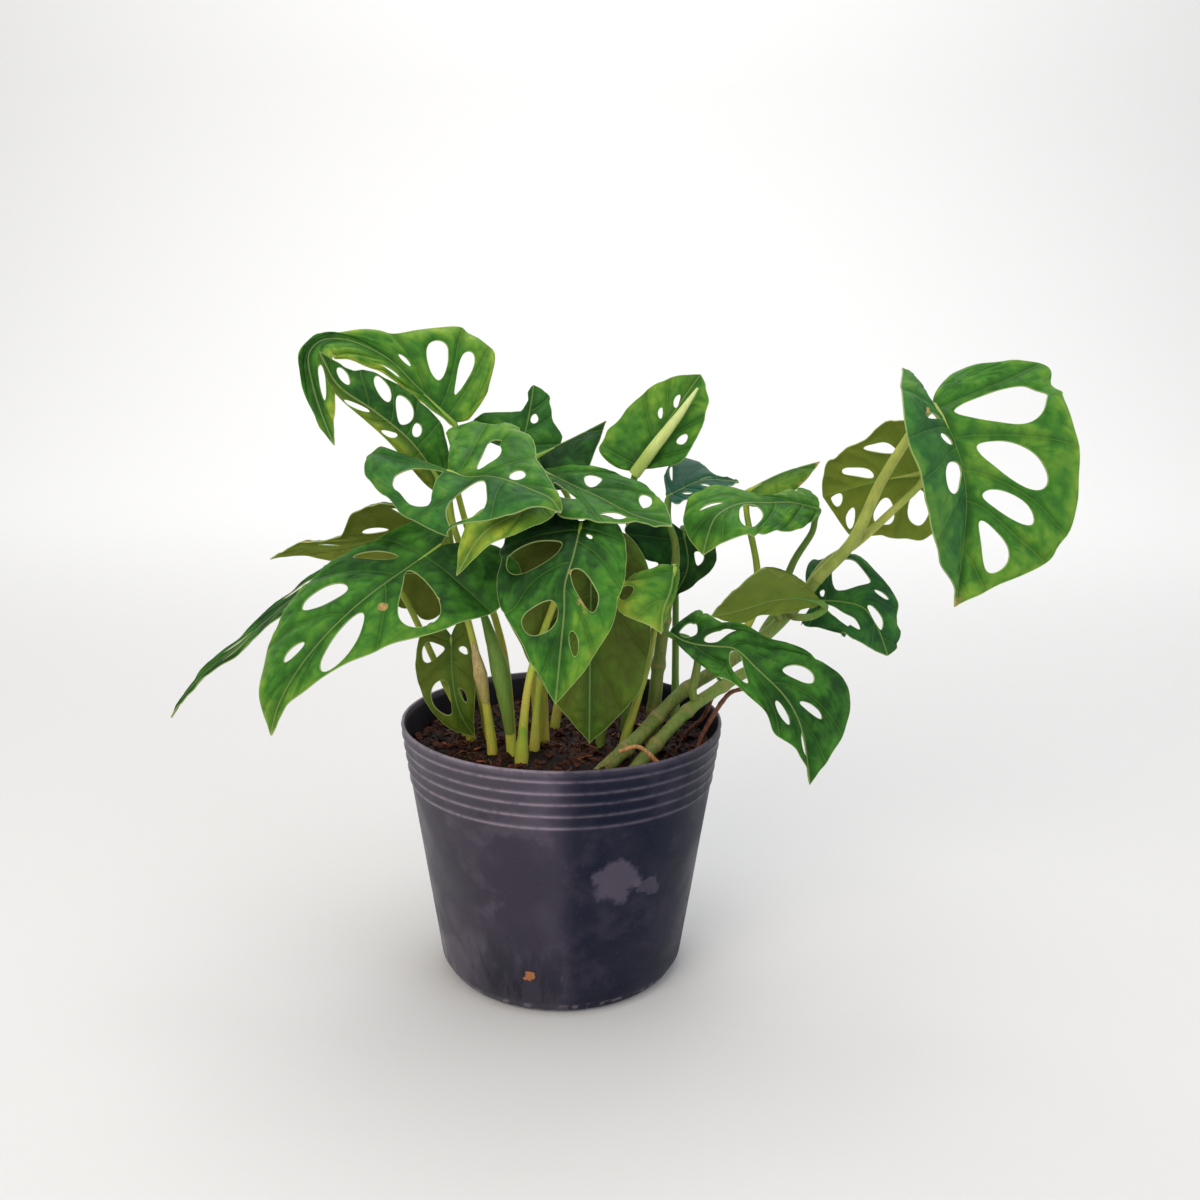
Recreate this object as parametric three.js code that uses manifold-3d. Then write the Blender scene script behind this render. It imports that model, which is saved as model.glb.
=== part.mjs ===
// Potted swiss cheese vine (Monstera adansonii): a soft plastic nursery pot filled with coir soil,
// two vine stems, aerial roots and a crowd of perforated leaves.
// Millimetres, +Z up, origin at the middle of the pot's base.
import * as THREE from 'three';
import Module from 'manifold-3d';
import { mergeVertices } from 'three/addons/utils/BufferGeometryUtils.js';

const wasm = await Module();
wasm.setup();

// Driving dimensions
const pot = {
  rimRadius: 75,
  baseRadius: 57,
  height: 122,
  wall: 1.6,
  floor: 2.4,
  heel: 7,
  lip: 1.1,
  rings: [5, 10.5, 15.5, 21, 26.5], // drops of the raised rings below the rim
  ringRise: 0.5,
  ringHeight: 1.6,
  facets: 36,
  drainHeight: 62,
  drainRadius: 3,
  baseHoleRadius: 4,
  baseHoleRing: 36,
  baseHoleTurns: [45, 135, 225, 315],
  holeFacets: 8,
};
const soil = {
  top: 108, // height of the soil at the pot's wall
  mound: 3,
  ripple: 0.9,
  gap: 0.7, // to the pot
  facets: 32,
  rows: 5,
  stemClear: 0.5, // round each stalk that stands in the soil
};
const blade = {
  half: 0.4, // half the thickness
  ribTop: 0.35,
  ribKeel: 1, // how far the midrib stands out underneath
  sweep: 1.35, // how strongly the side veins bend towards the tip
  start: 2.8, // power of the place on the margin that gives where a side vein leaves the rib
  first: 0.3, // the first and the last side vein where none are given, as shares of the way round the margin
  last: 0.88,
  ribStops: [0.25, 0.5, 0.75], // more points of the rib, kept this far from the veins
  ribClear: 0.03,
  veinSteps: 3,
  baseSteps: 3, // steps of the margin up to the first vein, and between two veins
  marginSteps: 3,
  holeMiddle: 0.52, // the middle of a hole between rib and margin
  holeWidth: 0.33, // half width of a fully open hole, as a share of the space between two veins
  holeLength: [0.14, 0.35], // half length of a narrow hole and of a fully open one
};
const stalk = {
  radius: [2, 1.3],
  detail: [6, 8], // sides and steps
  foot: 96, // lowest point in the soil
  clear: 0.3, // to the vine that carries it
  square: 3, // how far it stands straight off that vine
  upright: [104, 112], // a stalk stands upright in the soil up to here
  seat: [0, 0.014, 0.09], // where it runs on under the rib, as shares of the rib
  seatDrop: 0.7,
  spear: { radius: [2.4, 0.8], detail: [5, 4] },
};
const vineDetail = [8, 12];
const rootDetail = [5, 8];

// Half outline of a leaf: how far along the rib (share of its length) and across (share of the half width).
const outline = new THREE.SplineCurve([
  [0, 0], [-0.06, 0.3], [-0.02, 0.66], [0.14, 0.92], [0.34, 1],
  [0.56, 0.9], [0.76, 0.62], [0.91, 0.25], [1, 0],
].map(([along, across]) => new THREE.Vector2(along, across)));

// Each leaf hangs from rib[0] and runs to its tip. face is where the upper side looks, from base to tip.
// left and right are the halves as seen on the upper side with the tip pointing down: w the half width,
// fold its rise above the rib in degrees, curl its downward roll towards the margin in degrees, lobe the
// backward reach of its base, full below 1 for a half that is widest near the base, edge how much wider or
// narrower it is at equal steps round its margin, veins the places of its side veins round the margin.
// holes has an entry for each space between two veins: how wide it is open, or the hole's own place and
// half size [round the margin, half, out from the rib, half, slant]. start is the leaf's own power in place
// of blade.start. stem is the path of the leaf's stalk, from [x, y] in the soil or from its seat on a vine:
// grows.
const leaves = [
  {
    name: 'leaf_crest',
    rib: [
      [-50, 15, 256], [-67, 13, 272], [-79, 11, 284], [-96, 9, 292], [-107, 6, 292], [-112, 1, 286],
      [-110, -3, 273], [-106, -6, 261], [-100, -10, 247],
    ],
    face: [[0, -0.2, 1], [-0.1, -0.25, 1], [-0.6, -0.6, 0.6], [-0.5, -0.8, 0.3]],
    left: {
      w: 32, fold: [58, 10], curl: 12, lobe: -0.05, full: 0.72,
      edge: [0.1, 0.3, 0.9, 1.3, 1.25, 0.38, 0.1, 0.25, 0.4, 0.6, 0.8],
      veins: [0.31, 0.406, 0.49, 0.64, 0.8],
      holes: [0, [0.358, 0.03, 0.52, 0.26], [0.445, 0.02, 0.6, 0.25], [0.53, 0.012, 0.55, 0.08], 0, 0],
    },
    right: {
      w: 18, fold: [-40, -10], curl: 10, lobe: -0.04,
      edge: [0.2, 0.2, 0.25, 0.5, 0.8, 1, 1],
      veins: [0.3, 0.5, 0.66, 0.78, 0.9],
      holes: [0, 0, [0.58, 0.03, 0.4, 0.11], 0, [0.835, 0.04, 0.69, 0.12], 0],
    },
    stem: [[-24, -4], [-28, 6, 150], [-44, 18, 200], [-52, 19, 235]],
  },
  {
    name: 'leaf_crest_under',
    rib: [[-57, 1, 233], [-68, -3, 249], [-83, -6, 262], [-98, -8, 273], [-105, -9, 287]],
    face: [[0.45, -0.75, 0.4]],
    left: {
      w: 22, fold: 0, curl: 10, lobe: 0.02,
      edge: [0.6, 0.65, 0.9, 1, 1],
      veins: [0.44, 0.53, 0.632, 0.75, 0.92],
      holes: [
        0, [0.497, 0.026, 0.31, 0.16], [0.58, 0.04, 0.48, 0.34], [0.67, 0.03, 0.68, 0.28],
        [0.845, 0.035, 0.65, 0.26], 0,
      ],
    },
    right: {
      w: 8, fold: -20, curl: 10, lobe: 0.02,
      edge: [1, 1.1, 1, 0.8, 0.7, 0.7],
      veins: [0.4, 0.64, 0.85], holes: [0, [0.56, 0.02, 0.58, 0.29], [0.725, 0.03, 0.58, 0.34], 0],
    },
    start: 1.9,
    stem: [[-34, -4], [-42, -2, 150], [-49, -2, 190], [-54, 0, 222]],
  },
  {
    name: 'leaf_shield',
    rib: [
      [-48, -25, 238], [-40, -31, 236], [-30, -38, 237], [-21, -45, 236], [-11, -51, 233],
      [-3, -56, 230], [1, -59, 225],
    ],
    face: [[0, -0.6, 0.8], [0.2, -0.5, 0.8]],
    left: {
      w: 36, fold: [12, 0], curl: 45, lobe: 0.68,
      edge: [0.05, 0.05, 0.05, 0.4, 0.6, 0.7, 0.9, 1.2, 1.2, 1.1, 0.8],
      veins: [0.26, 0.61, 0.79],
      holes: [0, [0.44, 0.115, 0.52, 0.33, 0.11], [0.7, 0.07, 0.54, 0.42, 0.02], 0],
    },
    right: {
      w: 36, fold: 5, curl: 10, lobe: 0.33,
      edge: [2.8, 2.1, 1.1, 1.05, 1, 1.1, 1, 0.7, 0.6, 0.5, 1],
      veins: [0.4, 0.68, 0.85],
      holes: [0, [0.549, 0.083, 0.43, 0.26, -0.035], [0.778, 0.03, 0.37, 0.22, -0.016], 0],
    },
    stem: [[-22, -24], [-27, -24, 150], [-41, -14, 192], [-48, -17, 216]],
  },
  {
    name: 'leaf_lime_tip',
    rib: [[-7, -41, 226], [-17, -49, 223], [-30, -57, 216], [-41, -58, 199]],
    face: [[0.1, -0.6, 0.8], [-0.4, -0.8, 0.3]],
    left: { w: 11, fold: 0, curl: 10, lobe: 0, holes: [0, 0.4, 0, 0] },
    right: { w: 10, fold: 0, curl: 20, lobe: 0, edge: [1, 1, 0.8, 0.6, 0.6], holes: [0, 0, 0, 0] },
    stem: [[-12, -20], [-8, -12, 160], [-3, -16, 205], [-1, -27, 222]],
  },
  {
    name: 'leaf_wing',
    rib: [
      [-52, -26, 206], [-64, -34, 198], [-76, -43, 190], [-86, -50, 182], [-97, -56, 171],
      [-107, -60, 158], [-114, -63, 145], [-117, -66, 133],
    ],
    face: [[-0.1, -0.6, 0.8], [-0.6, -0.8, 0.4]],
    left: {
      w: 30, fold: 0, curl: 20, lobe: 0.05,
      edge: [0.9, 0.9, 1.15, 1.45, 1.55, 1.5],
      veins: [0.4, 0.58, 0.76, 0.9],
      holes: [0, [0.488, 0.027, 0.5, 0.25], [0.677, 0.042, 0.51, 0.23], [0.833, 0.017, 0.47, 0.14], 0],
    },
    right: {
      w: 36, fold: 0, curl: 25, lobe: 0.14, full: 0.85,
      edge: [1.1, 1.15, 1.2, 1.15, 1, 0.8, 0.6, 0.5, 0.6],
      veins: [0.4, 0.63, 0.82], holes: [0, [0.54, 0.05, 0.48, 0.42], [0.725, 0.05, 0.59, 0.35], 0],
    },
    stem: [[-31, -22], [-36, -24, 150], [-46, -20, 188]],
  },
  {
    name: 'leaf_arch',
    rib: [[-57, 12, 206], [-79, 18, 204], [-104, 22, 197], [-128, 28, 194], [-143, 30, 189]],
    face: [[0, 0.7, 0.7]],
    left: {
      w: 40, fold: -40, curl: 10, lobe: 0.01,
      edge: [1.6, 0.8, 1.2, 0.9, 0.2, 0.15, 0.1],
      holes: [0, 0, 0, 0, 0],
    },
    right: {
      w: 24, fold: 0, curl: 20, lobe: -0.01, full: 0.5,
      edge: [0.25, 0.6, 0.9, 1.75, 1.55, 0.55, 0.8, 0.9, 1],
      holes: [0, 0.3, 0.3, 0.2, 0],
    },
    stem: [[-36, 6], [-44, 14, 150], [-53, 18, 190]],
  },
  {
    name: 'leaf_blade_left',
    rib: [
      [-83, 2, 190], [-100, 2, 189], [-115, 3, 183], [-128, 4, 173], [-141, 5, 162], [-152, 6, 152],
      [-165, 6, 142], [-178, 6, 129], [-187, 6, 116],
    ],
    face: [[-0.3, -0.3, 1], [-0.5, -0.45, 0.7]],
    left: { w: 10, fold: 5, curl: 10, lobe: 0.1, holes: [0, 0.3, 0.5, 0.3, 0] },
    right: { w: 8, fold: 5, curl: 10, lobe: 0.1, holes: [0, 0.3, 0.5, 0.3, 0] },
    stem: [[-43, -4], [-55, -6, 140], [-74, -2, 180]],
  },
  {
    name: 'leaf_mask',
    rib: [[9, -41, 219], [6, -56, 207], [3, -66, 197], [3, -73, 188], [2, -78, 176], [0, -82, 153]],
    face: [[-0.05, -0.6, 0.8], [0, -1, 0.2]],
    left: {
      w: 34, fold: 0, curl: 25, lobe: -0.01,
      edge: [1.6, 1.5, 1.35, 1.05, 0.85, 0.8, 0.65, 0.6, 0.7],
      veins: [0.37, 0.63, 0.85],
      holes: [0, [0.5, 0.08, 0.55, 0.38, -0.01], [0.745, 0.049, 0.55, 0.34, -0.036], 0],
    },
    right: {
      w: 25, fold: 0, curl: 25, lobe: 0,
      edge: [0.95, 1, 0.95, 0.9, 0.9, 0.9, 0.85, 0.9, 0.9],
      veins: [0.33, 0.5, 0.745, 0.9],
      holes: [
        0, [0.408, 0.022, 0.21, 0.06], [0.663, 0.05, 0.4, 0.34], [0.823, 0.022, 0.54, 0.19, -0.008], 0,
      ],
    },
    stem: [[-17, -32], [-13, -36, 150], [0, -32, 190], [7, -33, 210]],
  },
  {
    name: 'leaf_bright',
    rib: [[48, -42, 201], [46, -50, 192], [43, -55, 185], [42, -59, 176]],
    face: [[0, -0.8, 0.7], [0, -1, 0.2]],
    left: {
      w: 24, fold: 0, curl: 10, lobe: -0.08,
      edge: [0.5, 0.5, 0.5, 0.75, 0.8, 0.95, 1.15, 0.7, 0.6],
      veins: [0.45, 0.8], holes: [0, [0.673, 0.043, 0.84, 0.12, -0.018], 0],
    },
    right: { w: 8, fold: -50, curl: 10, lobe: 0, edge: [0.5, 0.5], holes: [0, 0, 0] },
    stem: [[28, -22], [38, -20, 150], [44, -30, 188]],
  },
  {
    name: 'leaf_cap',
    rib: [[-10, -12, 238], [2, -20, 233], [16, -31, 228], [31, -42, 222], [46, -50, 219]],
    face: [[0.1, -0.35, 0.9], [0.5, -0.5, 0.7]],
    left: {
      w: 20, fold: 0, curl: 15, lobe: -0.14,
      edge: [0.2, 0.25, 0.7, 0.95, 1.1, 0.9, 0.4, 0.55, 0.65],
      veins: [0.4, 0.65, 0.85],
      holes: [0, [0.54, 0.06, 0.4, 0.18, 0.04], [0.72, 0.05, 0.84, 0.08, -0.01], 0],
    },
    right: {
      w: 30, fold: [25, 20], curl: 20, lobe: -0.15,
      edge: [0.05, 0.05, 0.25, 0.55, 0.6, 0.7, 0.8, 1.05, 1.3],
      veins: [0.47, 0.695, 0.88],
      holes: [0, [0.6, 0.05, 0.37, 0.19, -0.06], [0.785, 0.05, 0.74, 0.14, -0.05], 0],
    },
    stem: [[-8, -10], [-10, -2, 160], [-16, 0, 205], [-15, -4, 229]],
  },
  {
    name: 'leaf_back_lobe',
    rib: [[-22, 34, 242], [-19, 37, 254], [-17, 40, 265], [-16, 42, 273]],
    face: [[0.1, -0.9, 0.3]],
    left: {
      w: 18, fold: 0, curl: 10, lobe: -0.01,
      edge: [2.3, 1.5, 1, 1, 1, 0.7, 0.8, 1.45, 2.6],
      veins: [0.45, 0.66, 0.84], holes: [0, 0, [0.748, 0.044, 0.31, 0.16, -0.021], 0],
    },
    right: {
      w: 25, fold: 10, curl: 20, lobe: -0.07,
      edge: [1.15, 1.15, 1.25, 1.1, 0.9, 0.15, 0.1, 0.3, 0.6],
      veins: [0.4, 0.7], holes: [0, 0, 0],
    },
    stem: [[-4, 12], [2, 24, 150], [4, 34, 190], [0, 34, 222]],
  },
  {
    name: 'leaf_upright',
    rib: [[33, 10, 236], [44, 14, 253], [55, 18, 269], [62, 20, 279]],
    face: [[-0.3, -0.9, 0.3]],
    left: {
      w: 15, fold: 10, curl: 10, lobe: -0.16,
      edge: [0.8, 0.85, 1.25, 1.1, 1.1, 1.45, 2.5],
      veins: [0.45, 0.66], holes: [0, [0.563, 0.04, 0.69, 0.11, -0.02], 0],
    },
    right: {
      w: 22, fold: 10, curl: 10, lobe: 0.02,
      edge: [0.7, 1.2, 1.3, 1.05, 0.9, 0.9, 1, 1.25, 1.35],
      veins: [0.3, 0.66, 0.8, 0.92], holes: [0, 0, [0.75, 0.015, 0.37, 0.12], [0.86, 0.02, 0.24, 0.2], 0],
    },
    stem: [[30, 10], [30, 18, 150], [30, 22, 200], [31, 14, 226]],
    spear: [[32, 9, 234], [41, 6, 247], [51, 8, 260], [60, 11, 273]],
  },
  {
    name: 'leaf_dark_edge',
    rib: [[-14, 18, 241], [3, 22, 249], [19, 27, 257]],
    face: [[-0.3, 0.4, 0.9]],
    left: { w: 24, fold: -80, curl: 10, lobe: 0.05, edge: [1, 1, 0.9, 0.6, 0.5], holes: [0, 0, 0] },
    right: { w: 12, fold: -20, curl: 20, lobe: 0.1, holes: [0, 0, 0] },
    stem: [[-12, 4], [-16, 14, 160], [-20, 18, 215]],
  },
  {
    name: 'leaf_blue',
    rib: [[48, 12, 224], [64, 13, 231], [80, 9, 231]],
    face: [[0, -0.3, 1]],
    left: {
      w: 15, fold: 0, curl: 20, lobe: -0.08,
      edge: [1.45, 1.1, 0.7, 0.65, 0.85, 1.05, 0.6],
      veins: [0.35, 0.6, 0.85], holes: [0, 0.3, 0.3, 0],
    },
    right: {
      w: 15, fold: 10, curl: 10, lobe: -0.05,
      edge: [0.1, 0.3, 1.4, 2.2, 0.35, 0.4, 1.5],
      veins: [0.35, 0.6, 0.85], holes: [0, 0.3, 0.2, 0],
    },
    grows: { vine: 'vine_upright', at: 1 },
    stem: [[51, 6, 204], [48, 8, 213]],
  },
  {
    name: 'leaf_right_nod',
    rib: [
      [114, -8, 221], [100, -18, 225], [87, -28, 226], [78, -36, 227], [71, -41, 226], [64, -46, 222],
      [61, -48, 215], [59, -50, 207],
    ],
    face: [[0.1, -0.6, 0.8], [-0.6, -0.7, 0.4]],
    left: {
      w: 17, fold: 0, curl: 20, lobe: 0.03,
      edge: [3, 2.4, 1.7, 0.7, 0.35, 0.35, 1.9, 2.6, 2.9],
      veins: [0.3, 0.55, 0.8, 0.9], holes: [0, 0, 0, [0.852, 0.008, 0.5, 0.2], 0],
    },
    right: {
      w: 19, fold: 0, curl: 20, lobe: -0.14,
      edge: [0.3, 0.45, 0.7, 0.85, 0.85, 1, 1.45, 1.55, 1.55],
      veins: [0.3, 0.5, 0.69, 0.87], holes: [0, 0, 0, [0.78, 0.05, 0.43, 0.34, -0.03], 0],
    },
    grows: { vine: 'vine_front', at: 0.84, towards: [-0.2, -0.5, 1] },
    stem: [[105, 1, 195], [113, 0, 210], [113, -5, 218]],
  },
  {
    name: 'leaf_folded',
    rib: [[84, 12, 227], [101, 15, 235], [118, 17, 240]],
    face: [[0, 0.3, 1]],
    left: { w: 12, fold: -60, curl: 30, lobe: 0.05, holes: [0, 0, 0] },
    right: { w: 12, fold: -30, curl: 20, lobe: 0.05, holes: [0, 0, 0] },
    grows: { vine: 'vine_front', at: 0.71, towards: [0, 0.6, 1] },
    stem: [[89, 8, 170], [90, 9, 190], [84, 10, 218]],
  },
  {
    name: 'leaf_olive',
    rib: [[166, 14, 236], [144, 19, 231], [122, 26, 223]],
    face: [[0.05, 0.9, 0.3]],
    left: {
      w: 29, fold: 0, curl: 20, lobe: 0.07,
      edge: [1.4, 1.25, 1.3, 1.2, 1.05, 1.05, 1.3, 2.6, 3],
      veins: [0.27, 0.53, 0.78, 0.902],
      holes: [
        0, [0.398, 0.096, 0.5, 0.28], [0.66, 0.07, 0.6, 0.23, -0.02], [0.865, 0.018, 0.71, 0.2],
        [0.938, 0.022, 0.42, 0.33],
      ],
    },
    right: {
      w: 28, fold: 0, curl: 20, lobe: 0.1,
      edge: [1.1, 0.8, 1.05, 1.1, 1.15, 0.9, 1.05, 1.75, 2.8],
      veins: [0.3, 0.5, 0.695, 0.88],
      holes: [0, 0, [0.595, 0.036, 0.66, 0.21, 0.043], [0.79, 0.047, 0.38, 0.25, 0.02], 0],
    },
    grows: { vine: 'vine_front', at: 0.94, towards: [0.3, 1, 0] },
    stem: [[122, 12, 193], [134, 7, 203], [150, 8, 218], [164, 10, 232]],
    thick: [2.4, 1.5],
  },
  {
    name: 'leaf_hero',
    rib: [
      [155, -28, 268], [158, -34, 262], [162, -39, 252], [165, -43, 240], [166, -46, 228],
      [165, -49, 214], [163, -52, 187],
    ],
    face: [[0.15, -0.9, 0.4], [0.1, -1, 0.1]],
    left: {
      w: 34, fold: 45, curl: 20, lobe: 0.18, full: 1.2,
      edge: [2.3, 1.25, 0.6, 0.7, 0.85, 1.05, 1, 1, 0.85, 0.4, 0.1],
      veins: [0.4, 0.505, 0.61, 0.76],
      holes: [
        0, [0.46, 0.01, 0.39, 0.18], [0.559, 0.023, 0.21, 0.13, -0.018],
        [0.68, 0.045, 0.31, 0.26, -0.014], 0,
      ],
    },
    right: {
      w: 58, fold: 0, curl: 10, lobe: 0.16,
      edge: [0.7, 1.05, 1.45, 1.4, 1.1, 1, 1, 1.05, 1.25, 1.05, 0.65],
      veins: [0.29, 0.565, 0.695, 0.782, 0.895],
      holes: [
        0, [0.43, 0.1, 0.47, 0.37, 0.027], [0.632, 0.044, 0.45, 0.3, 0.014],
        [0.738, 0.025, 0.44, 0.27, -0.012], [0.835, 0.03, 0.53, 0.3, 0.017], 0,
      ],
    },
    grows: { vine: 'vine_front', at: 1 },
    stem: [[131, 0, 205], [142, -4, 234], [153, -16, 260]],
    thick: [3, 1.8],
  },
  {
    name: 'leaf_flag',
    rib: [[119, 14, 175], [131, 11, 175], [140, 8, 173], [146, 4, 165], [151, 0, 152]],
    face: [[0.3, -0.9, 0.5]],
    left: {
      w: 15, fold: 0, curl: 20, lobe: 0.09,
      edge: [3, 2.3, 1.2, 0.95, 1, 1.25, 1.35, 1.55, 1.9],
      veins: [0.3, 0.86], holes: [0, [0.588, 0.1, 0.44, 0.29, 0.12], 0],
    },
    right: {
      w: 26, fold: 0, curl: 20, lobe: 0.08, full: 1.2,
      edge: [2.2, 1.85, 1.55, 1.1, 1.15, 0.8, 0.65, 1, 2.5],
      veins: [0.43, 0.638, 0.7, 0.93],
      holes: [
        [0.368, 0.04, 0.16, 0.08], [0.541, 0.085, 0.54, 0.34], [0.668, 0.012, 0.72, 0.1],
        [0.82, 0.07, 0.22, 0.2, -0.02], 0,
      ],
    },
    grows: { vine: 'vine_front', at: 0.77, towards: [0, 1, 0] },
    stem: [[102, 16, 169]],
  },
  {
    name: 'leaf_olive_fold',
    rib: [[118, -4, 178], [110, -9, 181], [100, -14, 182], [91, -17, 181], [80, -20, 178], [66, -22, 175]],
    face: [[0, 0.8, 0.6]],
    left: {
      w: 14, fold: -20, curl: 20, lobe: -0.11,
      edge: [0.2, 0.4, 0.5, 0.55, 0.55, 0.45, 0.7, 0.8, 0.6],
      veins: [0.3, 0.7], holes: [0, 0, 0],
    },
    right: {
      w: 14, fold: 10, curl: 20, lobe: -0.18,
      edge: [0.4, 0.3, 0.4, 0.65, 1.25, 2.4, 1.6, 1.7, 1.75],
      veins: [0.3, 0.7], holes: [0, 0, 0],
    },
    grows: { vine: 'vine_front', at: 0.87, towards: [0.2, -1, -0.2] },
    stem: [[114, -3, 171], [120, -3, 175]],
  },
  {
    name: 'leaf_low_right',
    rib: [
      [47, -38, 171], [52, -42, 169], [58, -45, 168], [66, -48, 168], [73, -51, 168], [82, -57, 161],
      [93, -63, 151], [98, -65, 143], [101, -66, 134], [104, -68, 115],
    ],
    face: [[0.1, -0.8, 0.6], [0.3, -1, 0.1]],
    left: {
      w: 20, fold: 0, curl: 10, lobe: -0.12,
      edge: [0.1, 0.1, 0.15, 0.4, 0.8, 0.55, 0.55, 0.75, 0.35, 0.1, 0.15],
      veins: [0.48, 0.717, 0.8],
      holes: [
        0, [0.61, 0.04, 0.42, 0.38, -0.06], [0.752, 0.02, 0.66, 0.13], [0.9, 0.03, 0.49, 0.35, -0.04],
      ],
    },
    right: {
      w: 34, fold: 0, curl: 20, lobe: -0.07,
      edge: [0.1, 0.45, 0.95, 0.6, 0.35, 0.4, 0.7, 1.05, 1.1, 1, 1.15],
      veins: [0.42, 0.64, 0.795, 0.88],
      holes: [
        [0.315, 0.075, 0.36, 0.28, -0.02], [0.52, 0.05, 0.34, 0.28, -0.04],
        [0.743, 0.023, 0.49, 0.17, -0.01], [0.826, 0.01, 0.5, 0.2, -0.01], 0,
      ],
    },
    grows: { vine: 'vine_back', at: 0.68, towards: [0, 0, 1] },
    stem: [[61, -19, 155], [56, -28, 166], [50, -34, 169]],
  },
  {
    name: 'leaf_apron',
    rib: [[12, -25, 208], [13, -28, 194], [13, -31, 176], [13, -35, 154], [13, -38, 121]],
    face: [[0, -0.95, 0.25]],
    left: {
      w: 38, fold: 0, curl: 12, lobe: 0.03,
      edge: [1.5, 1.25, 1.2, 1.1, 1, 0.85, 0.75, 0.7, 0.35],
      veins: [0.4, 0.62, 0.82], holes: [0, 0, 0, 0],
    },
    right: {
      w: 28, fold: 0, curl: 16, lobe: -0.01,
      edge: [0.8, 1, 1, 1, 0.95, 1, 1.15, 1.2, 1],
      veins: [0.4, 0.62, 0.82], holes: [0, 0, 0, 0],
    },
    stem: [[18, -10], [19, -10, 145], [18, -12, 180]],
  },
  {
    name: 'leaf_low_left',
    rib: [[-50, -12, 162], [-49, -17, 143], [-46, -16, 127], [-40, -13, 115]],
    face: [[0, -0.9, 0.2]],
    left: { w: 17, fold: 0, curl: 20, lobe: 0.1, holes: [0, 0.8, 0.9, 0] },
    right: { w: 11, fold: 20, curl: 20, lobe: 0.1, holes: [0, 0.3, 0.3, 0] },
    stem: [[-46, 4], [-50, -2, 140], [-50, -6, 156]],
  },
  {
    name: 'leaf_shade',
    rib: [[56, 18, 206], [58, 15, 190], [50, 13, 173]],
    face: [[0.1, -0.9, 0.2]],
    left: {
      w: 26, fold: 10, curl: 5, lobe: 0.25,
      edge: [1.35, 1.1, 1.25, 0.9, 0.7, 1.05, 1.5],
      veins: [0.4, 0.8], holes: [0, 0, 0],
    },
    right: {
      w: 16, fold: 0, curl: 20, lobe: 0,
      edge: [0.9, 0.95, 1.1, 0.9, 0.45, 0.2, 0.3],
      veins: [0.3, 0.88], holes: [0, 0.2, 0],
    },
    stem: [[54, 12], [54, 24, 150], [54, 29, 192], [56, 25, 207]],
  },
];

const stems = [
  {
    name: 'vine_front',
    radius: [3.4, 2.7],
    path: [
      [8, -46, 98], [15, -42, 106], [35, -28, 121], [56, -10, 137],
      [76, -2, 148], [96, 3, 162], [110, 5, 177], [117, 4, 187],
    ],
  },
  {
    name: 'vine_back',
    radius: [3.2, 2.6],
    path: [[24, -46, 98], [31, -40, 107], [44, -30, 120], [58, -21, 132], [72, -14, 140], [84, -9, 146]],
  },
  {
    name: 'vine_upright',
    radius: [3.6, 2.4],
    path: [[42, -8], [43, -8, 135], [45, -6, 156], [48, -2, 178], [51, 2, 192]],
  },
];

const roots = [
  { name: 'root_outer', radius: [1.3, 1], path: [[62, -20], [68, -14, 124], [77, -10, 136], [84, -14, 140]] },
  { name: 'root_inner', radius: [1.1, 0.9], path: [[58, 0], [66, -2, 122], [70, -6, 134]] },
  { name: 'root_front', radius: [1.1, 0.9], path: [[46, -46], [42, -45, 116], [34, -44, 122], [26, -45, 120]] },
];

const colours = { leaf: 0x3f7d2c, stem: 0x6f8a32, root: 0x6b4032, pot: 0x35343f, soil: 0x2d1c17 };

const vec = ([x, y, z]) => new THREE.Vector3(x, y, z);
const rad = THREE.MathUtils.degToRad;

// Closed meshes to solids and back, for the joins and cuts
function toSolid(geometry) {
  const bare = new THREE.BufferGeometry().setAttribute('position', geometry.getAttribute('position'));
  bare.setIndex(geometry.index);
  const merged = mergeVertices(bare, 1e-4);
  const triVerts = new Uint32Array(merged.index.array);
  return new wasm.Manifold(
    new wasm.Mesh({ numProp: 3, vertProperties: merged.attributes.position.array, triVerts }),
  );
}

function toGeometry(solid) {
  const { vertProperties, triVerts } = solid.getMesh();
  const geometry = new THREE.BufferGeometry();
  geometry.setAttribute('position', new THREE.BufferAttribute(vertProperties, 3));
  geometry.setIndex(new THREE.BufferAttribute(triVerts, 1));
  return geometry;
}

function meshOf(name, solid, colour, roughness) {
  const material = new THREE.MeshStandardMaterial({ color: colour, roughness, metalness: 0 });
  const mesh = new THREE.Mesh(toGeometry(solid), material);
  mesh.geometry.computeVertexNormals();
  mesh.name = name;
  return mesh;
}

// A tapering tube along a smooth path, closed at both ends
function tube(path, [startRadius, endRadius], [sides, steps]) {
  const curve = new THREE.CatmullRomCurve3(path.map(vec), false, 'centripetal');
  const frames = curve.computeFrenetFrames(steps);
  const positions = [];
  const index = [];
  for (let i = 0; i <= steps; i++) {
    const centre = curve.getPointAt(i / steps);
    const radius = THREE.MathUtils.lerp(startRadius, endRadius, i / steps);
    for (let j = 0; j < sides; j++) {
      const turn = (2 * Math.PI * j) / sides;
      const point = centre.clone()
        .addScaledVector(frames.normals[i], radius * Math.cos(turn))
        .addScaledVector(frames.binormals[i], radius * Math.sin(turn));
      positions.push(...point);
      const next = (j + 1) % sides;
      const row = i * sides;
      if (i < steps) {
        index.push(row + j, row + next, row + sides + next, row + j, row + sides + next, row + sides + j);
      }
    }
  }
  for (let j = 1; j < sides - 1; j++) {
    const last = steps * sides;
    index.push(0, j + 1, j, last, last + j, last + j + 1);
  }
  const geometry = new THREE.BufferGeometry();
  geometry.setAttribute('position', new THREE.Float32BufferAttribute(positions, 3));
  return geometry.setIndex(index);
}

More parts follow.
